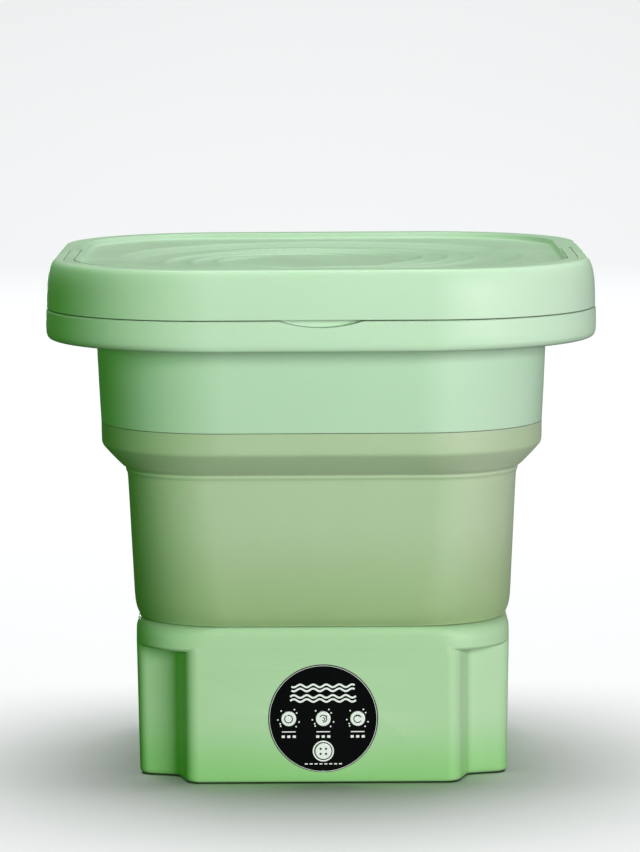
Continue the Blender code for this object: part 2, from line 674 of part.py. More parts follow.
def upper_band():
    """Rigid band between the soft barrel and the rim."""
    outer = [(BAND_HALF_BOTTOM, BAND_BOTTOM_Z), (139.4 * MM, RIM_BOTTOM_Z), (BAND_HALF_TOP, 287.9 * MM)]
    inner = [(half - WALL, z) for half, z in reversed(outer)]
    rings = [rounded_ring(half, BAND_CENTRE, z) for half, z in outer + inner]
    return add_object("upper_band", loft(rings, closed=True), "green_plastic")


def hinge_lugs():
    """Places along X of the rim's lugs, as their low ends."""
    reach = LID_KNUCKLE_LENGTH / 2 + GAP
    places = []
    for side in (-1, 1):
        middle = side * HINGE_SPACING
        places += [middle - reach - LUG_LENGTH, middle + reach]
    return places


def top_rim():
    """Wide rim that the lid rests on, hollow below, with hinge lugs and a finger notch."""
    rings = [rounded_ring(half * MM, centre * MM, z * MM) for half, centre, z in (
        (165.6, 61, 272.2), (167.2, 61, 272.2), (168.9, 63, 273.2), (169.8, 66, 275.6), (170, 67, 280),
        (169.8, 67, 290.3), (169.2, 67, 291), (134.8, 60, 291), (134.1, 60, 290.3), (134.1, 60, 262),
        (136.2, 60, 262), (136.2, 60, 288.2), (150, 64, 288.2), (157, 67, 284), (165.6, 67, 284),
        (166.2, 67, 281))]
    rim = add_object("top_rim", loft(rings, closed=True), "green_plastic")
    lug = arc(HINGE_Y, HINGE_Z, KNUCKLE_RADIUS, 0, 180, 8)
    lug += [(HINGE_Y + side * KNUCKLE_RADIUS, PARTING_Z - 1.5 * MM) for side in (-1, 1)]
    for x in hinge_lugs():
        join(rim, extrude_along_x(lug, x, x + LUG_LENGTH))
    for side in (-1, 1):
        start = (side * HINGE_SPACING - 30 * MM, HINGE_Y, HINGE_Z)
        cut(rim, cylinder(start, "X", 60 * MM, HINGE_PIN_RADIUS + GAP, 8))
    half_width = 25.5 * MM
    depth = 4.0 * MM
    radius = (half_width ** 2 + depth ** 2) / (2 * depth)
    spread = math.degrees(math.asin(half_width / radius))
    crescent = arc(0, PARTING_Z - depth + radius, radius, 270 - spread, 270 + spread, 8)
    crescent += [(half_width, PARTING_Z + 4 * MM), (-half_width, PARTING_Z + 4 * MM)]
    cut(rim, extrude_along_y(crescent, -RIM_HALF - 5 * MM, -RIM_HALF + 7 * MM))
    return rim


def strap(section, end_y):
    """Sweep a (half-width, height) section round the front of the lid, from side to side."""
    rings = []
    for half, z in section:
        outline = [(-half, end_y)]
        outline += arc(-RIM_CENTRE, -RIM_CENTRE, half - RIM_CENTRE, 180, 270, CORNER_STEPS)
        outline += arc(RIM_CENTRE, -RIM_CENTRE, half - RIM_CENTRE, 270, 360, CORNER_STEPS)
        outline += [(half, end_y)]
        rings.append([(x, y, z) for x, y in outline])
    return loft([list(station) for station in zip(*rings)])


def lid():
    """Lid shell with a stepped dish, a round recess in its top and a channel for the handle."""
    inner = [(12, 0, 310.8), (117, 0, 311.2), (127, 0, 314.2), (146, 67, 314.6), (147.5, 67, 309),
             (161, 67, 309), (164.5, 67, 305), (166.4, 67, 299), (166.6, 67, 291.5)]
    outer = [(169.3, 67, 291.5), (169.1, 67, 303), (168.4, 67, 311.5), (167.3, 67, 316), (166.2, 67, 319),
             (164.8, 67, 320.7), (163.2, 67, 321.2), (151, 67, 321.2), (150.2, 67, 319.2),
             (149.3, 67, 317.6), (127.5, 0, 317.2), (125, 0, 316.3), (116, 0, 314.3), (20, 0, 313.6)]
    rings = [rounded_ring(half * MM, centre * MM, z * MM) for half, centre, z in inner + outer]
    shell = add_object("lid", loft(rings), "green_plastic")
    for side in (-1, 1):
        start = (side * HINGE_SPACING - LID_KNUCKLE_LENGTH / 2, HINGE_Y, HINGE_Z)
        join(shell, cylinder(start, "X", LID_KNUCKLE_LENGTH, KNUCKLE_RADIUS))
    for x in hinge_lugs():
        low = (x - 0.5 * MM, HINGE_Y - 10 * MM, PARTING_Z - 1 * MM)
        high = (x + LUG_LENGTH + 0.5 * MM, HINGE_Y + 8 * MM, HINGE_Z + 4.1 * MM)
        cut(shell, box(low, high))
    for side in (-1, 1):
        start = (side * HINGE_SPACING - 15 * MM, HINGE_Y, HINGE_Z)
        cut(shell, cylinder(start, "X", 30 * MM, HINGE_PIN_RADIUS + GAP, 8))
    floor_z = HANDLE_BOTTOM_Z - GAP
    inside = HANDLE_INNER - 0.6 * MM
    outside = HANDLE_OUTER + GAP
    above = LID_TOP_Z + 4 * MM
    cut(shell, strap([(inside, floor_z), (outside, floor_z), (outside, above), (inside, above)],
                     HANDLE_Y + 3 * MM))
    pocket_floor_z = HANDLE_Z - HANDLE_EYE_RADIUS - 0.4 * MM
    for side in (-1, 1):
        near = inside - 0.2 * MM
        far = outside + 0.2 * MM
        low_x = near if side > 0 else -far
        cut(shell, box((low_x, HANDLE_Y - 4.7 * MM, pocket_floor_z),
                       (low_x + far - near, HANDLE_Y + 7.2 * MM, above + MM)))
        hole_x = handle_pin_x(side) - GAP
        cut(shell, cylinder((hole_x, HANDLE_Y, HANDLE_Z), "X", HANDLE_PIN_LENGTH + 2 * GAP,
                            HANDLE_PIN_RADIUS + GAP, 8))
    return shell


def lid_liner():
    """Flat inner panel of the lid."""
    rings = [rounded_ring(165.3 * MM, RIM_CENTRE, 299 * MM), rounded_ring(165.3 * MM, RIM_CENTRE, 301 * MM)]
    return add_object("lid_liner", loft(rings), "white_plastic")


def lid_seal():
    """Soft ring under the liner, which meets the rim's deck."""
    rings = [rounded_ring(half * MM, RIM_CENTRE, z * MM) for half, z in (
        (150, 298.7), (150.4, 292.2), (151.5, 291.4), (152.6, 292.2), (153, 298.7))]
    return add_object("lid_seal", loft(rings, closed=True), "rubber")


def carry_handle():
    """Bail handle: a strap round the front of the lid's ridge with an eye at each end."""
    edge = 0.5 * MM
    handle = add_object("carry_handle", strap([
        (HANDLE_INNER, HANDLE_BOTTOM_Z), (HANDLE_OUTER, HANDLE_BOTTOM_Z), (HANDLE_OUTER, LID_TOP_Z - edge),
        (HANDLE_OUTER - edge, LID_TOP_Z), (HANDLE_INNER + edge, LID_TOP_Z), (HANDLE_INNER, LID_TOP_Z - edge)],
        HANDLE_Y), "green_plastic")
    eye_inset = 0.4 * MM
    eye_length = HANDLE_OUTER - HANDLE_INNER - 2 * eye_inset
    for side in (-1, 1):
        middle_x = side * (HANDLE_INNER + HANDLE_OUTER) / 2
        join(handle, cylinder((middle_x - eye_length / 2, HANDLE_Y, HANDLE_Z), "X", eye_length,
                              HANDLE_EYE_RADIUS))
        cut(handle, cylinder((middle_x - eye_length, HANDLE_Y, HANDLE_Z), "X", 2 * eye_length,
                             HANDLE_PIN_RADIUS + GAP, 8))
    return handle


def handle_pin_x(side):
    """Low end along X of the handle's pin on one side."""
    return HANDLE_PIN_INNER_X if side > 0 else -HANDLE_PIN_INNER_X - HANDLE_PIN_LENGTH


def cross_pin(name, low_x, high_x, y, z, radius):
    body = cylinder((0, 0, 0), "X", high_x - low_x, radius, 8)
    return add_object(name, body, "steel", (low_x, y, z))


# Assembly -------------------------------------------------------------------------------
def build_base():
    base_housing()
    bottom_cover()
    for side_y, word_y in ((-1, "front"), (1, "rear")):
        for side_x, word_x in ((-1, "left"), (1, "right")):
            foot("foot_" + word_y + "_" + word_x, side_x * FOOT_X, side_y * FOOT_Y)
            screw("cover_screw_" + word_y + "_" + word_x, side_x * COVER_SCREW_X, side_y * COVER_SCREW_Y,
                  2.4 * MM, 3.4 * MM, 1.5 * MM, 1.4 * MM, 15 * MM, True)
    tub_floor()
    drain_strainer()
    drain_pipe()
    dc_socket()
    socket_nut()
    soft_barrel()


def build_controls():
    control_panel()
    control_board()
    for name, across, up, radius in button_places():
        push_button(name, across, up, radius)
        tact_switch(name.replace("button", "switch"), across, up)


def build_drive():
    motor_case()
    motor_bracket()
    for word, y in (("front", -MOTOR_SCREW_Y), ("rear", MOTOR_SCREW_Y)):
        screw("motor_screw_" + word, MOTOR_X, y, 56.4 * MM, 2.8 * MM, 1.8 * MM, 1.2 * MM, 7 * MM, False)
    drive_belt()
    bearing("lower_bearing", 71 * MM)
    bearing("upper_bearing", 79.5 * MM)
    shaft_seal()
    carry(joint_empty("motor_axis", (MOTOR_X, 0, BELT_Z)), [motor_shaft(), motor_pulley()])
    pulsator_screw = screw("pulsator_screw", 0, 0, 106.4 * MM, 4.2 * MM, 2.5 * MM, 1.5 * MM, 10 * MM, False)
    carry(joint_empty("drive_axis", (0, 0, PULSATOR_Z)),
          [drive_shaft(), driven_pulley(), pulsator(), pulsator_screw, spin_basket()])


def build_top():
    upper_parts = [upper_band(), top_rim()]
    lid_parts = [lid(), lid_liner(), lid_seal()]
    for side, word in ((-1, "left"), (1, "right")):
        middle = side * HINGE_SPACING
        upper_parts.append(cross_pin("hinge_pin_" + word, middle - 17.5 * MM, middle + 17.5 * MM,
                                     HINGE_Y, HINGE_Z, HINGE_PIN_RADIUS))
        low_x = handle_pin_x(side)
        lid_parts.append(cross_pin("handle_pin_" + word, low_x, low_x + HANDLE_PIN_LENGTH,
                                   HANDLE_Y, HANDLE_Z, HANDLE_PIN_RADIUS))
    slide = joint_empty("collapse_slide", (0, 0, BAND_BOTTOM_Z))
    lid_axis = joint_empty("lid_axis", (0, HINGE_Y, HINGE_Z))
    handle_axis = joint_empty("handle_axis", (0, HANDLE_Y, HANDLE_Z))
    carry(slide, upper_parts)
    carry(lid_axis, lid_parts)
    carry(handle_axis, [carry_handle()])


def main():
    for old in list(bpy.data.objects):
        bpy.data.objects.remove(old)
    build_base()
    build_controls()
    build_drive()
    drain_cap()
    build_top()


main()
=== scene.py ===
"""Portable mini washer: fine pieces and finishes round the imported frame, with floor, lights and camera.

All shapes are given in millimetres in the frame's axes (+Z up, front towards -Y).
"""
import math

import bmesh
import bpy
from mathutils import Matrix, Vector


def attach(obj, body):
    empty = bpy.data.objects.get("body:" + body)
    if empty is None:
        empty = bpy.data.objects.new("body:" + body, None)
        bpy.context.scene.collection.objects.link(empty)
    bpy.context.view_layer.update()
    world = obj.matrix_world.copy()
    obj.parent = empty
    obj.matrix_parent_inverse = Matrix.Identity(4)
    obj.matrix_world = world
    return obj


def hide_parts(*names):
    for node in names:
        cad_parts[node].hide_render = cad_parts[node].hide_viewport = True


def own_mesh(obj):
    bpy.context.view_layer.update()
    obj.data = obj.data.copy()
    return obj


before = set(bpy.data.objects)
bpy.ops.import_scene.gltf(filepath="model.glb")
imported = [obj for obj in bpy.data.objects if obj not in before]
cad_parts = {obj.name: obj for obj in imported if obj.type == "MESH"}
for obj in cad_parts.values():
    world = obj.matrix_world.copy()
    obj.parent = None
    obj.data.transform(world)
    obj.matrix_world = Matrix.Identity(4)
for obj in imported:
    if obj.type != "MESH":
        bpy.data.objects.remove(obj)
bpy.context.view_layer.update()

MM = 0.001

# Shape ----------------------------------------------------------------------------------
STEPS = 23                 # steps of each quarter of a fine outline
RIM_CENTRE = 67.0          # distance from the axis to the centre of a corner's arc
BAND_CENTRE = 60.0
BASE_CENTRE = 57.0
SHOULDER_CENTRE = 73.0
TUB_CENTRE = 55.0
WALL = 2.6
GAP = 0.3
ARM_HALF = 83.3
NOTCH_VERTEX = 90.5
HINGE_Y = 167.6
HINGE_Z = 296.5
HINGE_SPACING = 70.0
HINGE_PIN_RADIUS = 1.3
HINGE_PIN_LENGTH = 35.0
KNUCKLE_RADIUS = 3.0
HANDLE_Y = 2.0
HANDLE_Z = 315.2
HANDLE_INNER = 152.3
HANDLE_OUTER = 158.5
HANDLE_BOTTOM_Z = 317.9
HANDLE_PIN_RADIUS = 1.4
HANDLE_PIN_LENGTH = 10.9
HANDLE_PIN_INNER_X = 149.6
LID_TOP_Z = 321.2
RIM_TOP_Z = 291.0
RIM_BOTTOM_Z = 272.2
PANEL_Z = 41.0
PANEL_FACE_Y = -115.3
PANEL_RADIUS = 33.5
PANEL_SKIRT_RADIUS = 28.8
PANEL_PROUD = 0.6
BUTTON_SPACING = 21.2
BUTTON_RADIUS = 4.6
BUTTON_PROUD = 1.5
POWER_DROP = 20.3
POWER_RADIUS = 5.0
PULSATOR_Z = 91.4
DRAIN_Y = 80.0
DRAIN_Z = 46.0
SPOUT_END_Y = 136.0
SOCKET_X = 40.0
SOCKET_Z = 35.0
REAR_FACE_Y = 115.2
FOOT_X = 96.0
FOOT_Y = 56.0
COVER_SCREW_X = 62.0
COVER_SCREW_Y = 104.0


# Camera, floor and light ----------------------------------------------------------------
def place_camera():
    data = bpy.data.cameras.new("camera")
    data.lens = 173.5
    data.sensor_width = 36.0
    data.shift_x = -0.0023
    data.shift_y = 0.074
    data.clip_end = 60.0
    camera = bpy.data.objects.new("camera", data)
    bpy.context.scene.collection.objects.link(camera)
    camera.location = (0.0, -2.6, 0.513)
    towards = Vector((0.0, 0.0, 0.168)) - camera.location
    turn = towards.to_track_quat("-Z", "Y").to_matrix() @ Matrix.Rotation(math.radians(-0.3), 3, "Z")
    camera.rotation_euler = turn.to_euler()
    bpy.context.scene.camera = camera


def area_light(name, location, target, size, energy, colour):
    data = bpy.data.lights.new(name, "AREA")
    data.shape = "RECTANGLE"
    data.size = size[0]
    data.size_y = size[1]
    data.energy = energy
    data.color = colour
    light = bpy.data.objects.new(name, data)
    bpy.context.scene.collection.objects.link(light)
    light.location = location
    light.rotation_euler = (Vector(target) - Vector(location)).to_track_quat("-Z", "Y").to_euler()
    return light


def light_scene():
    world = bpy.data.worlds.new("studio")
    bpy.context.scene.world = world
    world.use_nodes = True
    background = world.node_tree.nodes["Background"]
    background.inputs["Color"].default_value = (0.85, 1.0, 0.8, 1.0)
    background.inputs["Strength"].default_value = 0.035
    area_light("backdrop_wash", (0, 3.4, 3.2), (0, 5.2, 0.5), (5.0, 0.8), 50, (1.0, 1.0, 1.0))
    object_lights = [
        area_light("overhead", (-0.3, 1.3, 5.8), (0, 0, 0.1), (1.6, 1.6), 235, (0.90, 1.0, 0.89)),
        area_light("key", (1.33, -2.3, 0.62), (0, 0, 0.17), (1.5, 1.0), 74, (1.0, 0.99, 1.0)),
        area_light("rear_low", (-0.1, 2.6, 0.17), (0, 0, 0.17), (1.2, 0.25), 28, (0.97, 1.0, 1.0)),
        area_light("green_shade", (-2.1, -1.6, 0.45), (0, 0, 0.17), (1.6, 1.0), 15, (0.22, 1.0, 0.05)),
    ]
    floor_lights = [area_light("floor_only", (0.0, 1.0, 5.6), (0, 0, 0), (4.5, 4.5), 375, (1.0, 0.99, 1.0))]
    return object_lights, floor_lights


def link_lights(name, lights, target, state):
    """Make lights reach only one object, or every object but that one."""
    receivers = bpy.data.collections.new(name)
    receivers.objects.link(target)
    receivers.collection_objects[0].light_linking.link_state = state
    for light in lights:
        light.visible_camera = False
        light.light_linking.receiver_collection = receivers


def floor_and_backdrop(object_lights, floor_lights):
    profile = [(-4.0, 0.0), (4.0, 0.0)]
    for step in range(1, 13):
        angle = step * math.pi / 24
        profile.append((4.0 + 2.0 * math.sin(angle), 2.0 - 2.0 * math.cos(angle)))
    profile.append((6.0, 6.0))
    sweep = bmesh.new()
    rows = [[sweep.verts.new((x, y, z)) for x in (-9.0, 9.0)] for y, z in profile]
    for lower, upper in zip(rows, rows[1:]):
        sweep.faces.new((lower[0], lower[1], upper[1], upper[0]))
    mesh = bpy.data.meshes.new("studio_floor")
    sweep.to_mesh(mesh)
    sweep.free()
    mesh.shade_smooth()
    floor = bpy.data.objects.new("studio_floor", mesh)
    bpy.context.scene.collection.objects.link(floor)
    mesh.materials.append(finish("pale_floor", (249, 250, 251), (247, 249, 250), 0.9, cloud=3.0,
                                 grain=160.0, depth=0.01, spread=0.02, ior=1.2))
    floor.visible_diffuse = False
    floor.visible_glossy = False
    link_lights("all_but_floor", object_lights, floor, "EXCLUDE")
    link_lights("floor_alone", floor_lights, floor, "INCLUDE")


# Finishes -------------------------------------------------------------------------------
def linear(channel):
    value = channel / 255.0
    return value / 12.92 if value <= 0.04045 else ((value + 0.055) / 1.055) ** 2.4


def rgba(colour):
    return (*[linear(channel) for channel in colour], 1.0)


def finish(name, colour, second, roughness, cloud=18.0, grain=1400.0, depth=0.012, spread=0.08,
           stretch=(1.0, 1.0, 1.0), edge=None, painted_low_shade=None, metallic=0.0, coat=0.0, coat_roughness=0.1,
           subsurface=0.0, bleed=(0.4, 1.0, 0.3), ior=1.47, sheen=0.0):
    """A moulded or metal finish: clouded colour, fine grain, uneven gloss and a painted highlight that makes
    convex edges paler.

    painted_low_shade is (colour, low z, high z): painted shade that tints the surface towards its lower end.
    """
    material = bpy.data.materials.new(name)
    material.use_nodes = True
    nodes = material.node_tree.nodes
    links = material.node_tree.links
    shader = nodes["Principled BSDF"]
    shader.inputs["Metallic"].default_value = metallic
    shader.inputs["IOR"].default_value = ior
    shader.inputs["Coat Weight"].default_value = coat
    shader.inputs["Coat Roughness"].default_value = coat_roughness
    shader.inputs["Sheen Weight"].default_value = sheen
    if subsurface:
        shader.inputs["Subsurface Weight"].default_value = subsurface
        shader.inputs["Subsurface Radius"].default_value = bleed
        shader.inputs["Subsurface Scale"].default_value = 0.006
    place = nodes.new("ShaderNodeTexCoord")
    mapping = nodes.new("ShaderNodeMapping")
    mapping.inputs["Scale"].default_value = stretch
    links.new(place.outputs["Object"], mapping.inputs["Vector"])

    clouds = nodes.new("ShaderNodeTexNoise")
    clouds.inputs["Scale"].default_value = cloud
    clouds.inputs["Detail"].default_value = 4.0
    links.new(mapping.outputs["Vector"], clouds.inputs["Vector"])
    tint = nodes.new("ShaderNodeMix")
    tint.data_type = "RGBA"
    tint.inputs["A"].default_value = rgba(colour)
    tint.inputs["B"].default_value = rgba(second)
    links.new(clouds.outputs["Fac"], tint.inputs["Factor"])
    shade = tint.outputs["Result"]

    # Painted shade: the colour darkens towards the lower end, where less light falls.
    if painted_low_shade:
        height = nodes.new("ShaderNodeSeparateXYZ")
        links.new(place.outputs["Object"], height.inputs["Vector"])
        ramp = nodes.new("ShaderNodeMapRange")
        ramp.interpolation_type = "SMOOTHSTEP"
        ramp.inputs["From Min"].default_value = painted_low_shade[2] * MM
        ramp.inputs["From Max"].default_value = painted_low_shade[1] * MM
        links.new(height.outputs["Z"], ramp.inputs["Value"])
        lower = nodes.new("ShaderNodeMix")
        lower.data_type = "RGBA"
        links.new(ramp.outputs["Result"], lower.inputs["Factor"])
        links.new(shade, lower.inputs["A"])
        lower.inputs["B"].default_value = rgba(painted_low_shade[0])
        shade = lower.outputs["Result"]

    # Painted highlight: convex edges, found by pointiness, turn towards the edge colour in patches.
    if edge:
        geometry = nodes.new("ShaderNodeNewGeometry")
        painted_edge_highlight = nodes.new("ShaderNodeMapRange")
        painted_edge_highlight.inputs["From Min"].default_value = 0.52
        painted_edge_highlight.inputs["From Max"].default_value = 0.60
        painted_edge_highlight.inputs["To Max"].default_value = 0.6
        links.new(geometry.outputs["Pointiness"], painted_edge_highlight.inputs["Value"])
        patchy_edge_highlight = nodes.new("ShaderNodeMath")
        patchy_edge_highlight.operation = "MULTIPLY"
        links.new(painted_edge_highlight.outputs["Result"], patchy_edge_highlight.inputs[0])
        links.new(clouds.outputs["Fac"], patchy_edge_highlight.inputs[1])
        edge_highlighted = nodes.new("ShaderNodeMix")
        edge_highlighted.data_type = "RGBA"
        links.new(patchy_edge_highlight.outputs["Value"], edge_highlighted.inputs["Factor"])
        links.new(shade, edge_highlighted.inputs["A"])
        edge_highlighted.inputs["B"].default_value = rgba(edge)
        shade = edge_highlighted.outputs["Result"]
    links.new(shade, shader.inputs["Base Color"])

    smears = nodes.new("ShaderNodeTexNoise")
    smears.inputs["Scale"].default_value = cloud * 3.3
    smears.inputs["Detail"].default_value = 5.0
    links.new(mapping.outputs["Vector"], smears.inputs["Vector"])
    gloss = nodes.new("ShaderNodeMapRange")
    gloss.inputs["From Min"].default_value = 0.3
    gloss.inputs["From Max"].default_value = 0.7
    gloss.inputs["To Min"].default_value = max(0.02, roughness - spread)
    gloss.inputs["To Max"].default_value = min(1.0, roughness + spread)
    links.new(smears.outputs["Fac"], gloss.inputs["Value"])
    links.new(gloss.outputs["Result"], shader.inputs["Roughness"])

    texture = nodes.new("ShaderNodeTexNoise")
    texture.inputs["Scale"].default_value = grain
    texture.inputs["Detail"].default_value = 2.0
    links.new(mapping.outputs["Vector"], texture.inputs["Vector"])
    bump = nodes.new("ShaderNodeBump")
    bump.inputs["Strength"].default_value = 0.25
    bump.inputs["Distance"].default_value = depth * MM
    links.new(texture.outputs["Fac"], bump.inputs["Height"])
    links.new(bump.outputs["Normal"], shader.inputs["Normal"])
    return material


def make_finishes():
    # edge is the colour of the painted highlight on convex edges.
    green = dict(cloud=9.0, grain=1500.0, depth=0.02, edge=(222, 238, 218), subsurface=0.12,
                 bleed=(0.35, 1.0, 0.30), ior=1.35)
    return {
        "green": finish("green_shell", (197, 224, 198), (190, 219, 190), 0.48, **green),
        # The band and the base are darker copies of the shell green: painted shade for the weaker light lower
        # down. The base also darkens further towards the floor, also painted shade.
        "band": finish("green_band_painted_shade", (186, 216, 190), (180, 210, 180), 0.48, **green),
        "base": finish("green_base_painted_shade", (178, 211, 171), (170, 206, 162), 0.48,
                       painted_low_shade=((142, 200, 126), 1, 44), **green),
        # The soft wall darkens towards its foot: painted shade.
        "soft": finish("soft_silicone", (180, 198, 168), (168, 190, 151), 0.55, cloud=14.0, grain=1100.0,
                       depth=0.03, stretch=(1.0, 1.0, 0.35), painted_low_shade=((152, 178, 128), 98, 170),
                       subsurface=0.2, bleed=(0.5, 1.0, 0.25), sheen=0.15),
        "white": finish("white_plastic", (240, 242, 242), (230, 233, 234), 0.34, edge=(250, 250, 250)),
        "black": finish("gloss_fascia", (9, 9, 11), (12, 12, 14), 0.14, cloud=30.0, spread=0.05,
                        depth=0.004, coat=0.15, coat_roughness=0.06, ior=1.35),
        "rubber": finish("soft_rubber", (58, 60, 60), (44, 46, 47), 0.78, cloud=40.0, grain=900.0,
                         depth=0.05),
        "steel": finish("bright_steel", (196, 198, 202), (170, 173, 178), 0.28, cloud=60.0, grain=2200.0,
                        depth=0.01, stretch=(1.0, 1.0, 6.0), metallic=1.0),
        "zinc": finish("zinc_plate", (176, 180, 184), (150, 156, 162), 0.42, cloud=45.0, grain=700.0,
                       depth=0.02, metallic=1.0),
        "board": finish("circuit_board", (22, 92, 54), (16, 74, 44), 0.42, cloud=120.0, grain=600.0,
                        depth=0.05, coat=0.3),
        "blue": finish("basket_blue", (122, 178, 216), (110, 168, 208), 0.36, edge=(176, 212, 234),
                       subsurface=0.08, bleed=(0.3, 0.5, 1.0)),
        "print_white": finish("white_print", (244, 246, 246), (232, 235, 236), 0.5, cloud=200.0),
        "print_dark": finish("dark_print", (22, 24, 28), (34, 36, 40), 0.5, cloud=200.0),
    }


# Mesh building --------------------------------------------------------------------------
def outline(half, centre, z, steps=STEPS):
    """A square with round corners; a centre of 0 gives a circle."""
    points = []
    for quadrant in range(4):
        sign_x = 1 if quadrant in (0, 3) else -1
        sign_y = 1 if quadrant in (0, 1) else -1
        for step in range(steps + 1):
            part = step / steps if centre > 0 else (step + 0.5) / (steps + 1)
            angle = (quadrant + part) * math.pi / 2
            points.append((sign_x * centre + (half - centre) * math.cos(angle),
                           sign_y * centre + (half - centre) * math.sin(angle), z))
    return points


def softened(profile, closed=False, steps=4):
    """Round each (..., cut) point of a profile with a quadratic curve that starts cut away from it."""
    count = len(profile)
    result = []
    for index, point in enumerate(profile):
        *here, reach = point
        if reach == 0 or (not closed and index in (0, count - 1)):
            result.append(tuple(here))
            continue
        ends = []
        for other in (profile[index - 1], profile[(index + 1) % count]):
            there = other[:-1]
            length = math.hypot(there[0] - here[0], there[-1] - here[-1])
            share = min(reach / length, 0.48)
            ends.append([a + (b - a) * share for a, b in zip(here, there)])
        for step in range(steps + 1):
            t = step / steps
            result.append(tuple((1 - t) ** 2 * a + 2 * t * (1 - t) * b + t * t * c
                                for a, b, c in zip(ends[0], here, ends[1])))
    return result


def splined(points, substeps):
    """A smooth curve through all the points."""
    result = []
    last = len(points) - 1
    for index in range(last):
        before = points[max(index - 1, 0)]
        here = points[index]
        there = points[index + 1]
        after = points[min(index + 2, last)]
        for step in range(substeps):
            t = step / substeps
            result.append(tuple(
                0.5 * (2 * b + (c - a) * t + (2 * a - 5 * b + 4 * c - d) * t * t
                       + (3 * b - a - 3 * c + d) * t ** 3)
                for a, b, c, d in zip(before, here, there, after)))
    result.append(tuple(points[-1]))
    return result


def loft(rings, closed=False):
    """Join rings of equal length; the ends are capped, or joined when closed."""
    body = bmesh.new()
    rows = [[body.verts.new(point) for point in ring] for ring in rings]
    pairs = list(zip(rows, rows[1:]))
    if closed:
        pairs.append((rows[-1], rows[0]))
    else:
        body.faces.new(rows[0])
        body.faces.new(rows[-1])
    for lower, upper in pairs:
        count = len(lower)
        for index in range(count):
            after = (index + 1) % count
            body.faces.new((lower[index], lower[after], upper[after], upper[index]))
    return body


def turned(profile, steps=64, ripple=None):
    """Spin (radius, height) points about Z; the ends are closed by flat caps, or joined."""
    rings = []
    for radius, height in profile:
        if radius == 0:
            continue
        ring = []
        for step in range(steps):
            angle = 2 * math.pi * step / steps
            reach = radius + (ripple(radius, height, angle) if ripple else 0.0)
            ring.append((reach * math.cos(angle), reach * math.sin(angle), height))
        rings.append(ring)
    return loft(rings, closed=profile[0][0] > 0 and profile[-1][0] > 0)


def block(low, high):
    body = bmesh.new()
    size = [b - a for a, b in zip(low, high)]
    middle = Vector([(a + b) / 2 for a, b in zip(low, high)])
    bmesh.ops.create_cube(body, size=1.0, matrix=Matrix.Translation(middle) @ Matrix.Diagonal((*size, 1)))
    return body


def rod(start, axis, length, radius, steps=32, bevel=0.0):
    """A cylinder from a start point along the axis X, Y or Z, with rounded ends if bevel isn't 0."""
    profile = [(0, 0, 0), (radius, 0, bevel), (radius, length, bevel), (0, length, 0)]
    body = turned(softened(profile), steps)
    turns = {"X": Matrix.Rotation(math.pi / 2, 4, "Y"), "Y": Matrix.Rotation(-math.pi / 2, 4, "X"),
             "Z": Matrix.Identity(4)}
    body.transform(Matrix.Translation(start) @ turns[axis])
    return body


def moved(body, location=(0, 0, 0), turn=None):
    body.transform(Matrix.Translation(location) @ (turn or Matrix.Identity(4)))
    return body


FACING_FRONT = Matrix.Rotation(math.pi / 2, 4, "X")
FACING_REAR = Matrix.Rotation(-math.pi / 2, 4, "X")


def make(name, body, material=None):
    """Turn a bmesh in millimetres into an object in metres."""
    body.transform(Matrix.Scale(MM, 4))
    bmesh.ops.recalc_face_normals(body, faces=body.faces)
    mesh = bpy.data.meshes.new(name)
    body.to_mesh(mesh)
    body.free()
    part = bpy.data.objects.new(name, mesh)
    bpy.context.scene.collection.objects.link(part)
    if material:
        mesh.materials.append(material)
    return part


def combine(part, tools, operation):
    for body in tools:
        tool = make("tool", body)
        modifier = part.modifiers.new("combine", "BOOLEAN")
        modifier.operation = operation
        modifier.solver = "EXACT"
        modifier.object = tool
        graph = bpy.context.evaluated_depsgraph_get()
        result = bpy.data.meshes.new_from_object(part.evaluated_get(graph))
        part.modifiers.clear()
        part.data = result
        bpy.data.objects.remove(tool)
    return part


def cut(part, *tools):
    return combine(part, tools, "DIFFERENCE")


def join(part, *tools):
    return combine(part, tools, "UNION")


def settle(part, body, nodes=(), angle=34):
    """Shade a finished piece, hang it on its body and hide the imported nodes it stands for."""
    part.data.shade_smooth()
    part.data.set_sharp_from_angle(angle=math.radians(angle))
    normals = part.modifiers.new("even_normals", "WEIGHTED_NORMAL")
    normals.keep_sharp = True
    if body:
        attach(part, body)
    if nodes:
        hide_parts(*nodes)
    return part


# Lid ------------------------------------------------------------------------------------
SWIRL_BLADES = 6
SWIRL_START = 46.0         # radius where each ridge starts
SWIRL_GROWTH = 16.0        # radius gained for each radian of sweep
SWIRL_SWEEP = 3.7
SWIRL_HEIGHT = 1.5


def smoothstep(value):
    t = min(max(value, 0.0), 1.0)
    return t * t * (3 - 2 * t)


def swirl(radius, angle):
    """Height of the turbine-like ridges pressed into the lid's recess."""
    height = 0.0
    for blade in range(SWIRL_BLADES):
        sweep = (angle - blade * 2 * math.pi / SWIRL_BLADES) % (2 * math.pi)
        if sweep > SWIRL_SWEEP:
            continue
        away = radius - (SWIRL_START + SWIRL_GROWTH * sweep)
        width = 1.5 if away < 0 else 3.6
        taper = smoothstep(sweep / 0.7) * smoothstep((SWIRL_SWEEP - sweep) / 0.7)
        height = max(height, SWIRL_HEIGHT * taper * math.exp(-(away / width) ** 2))
    return height


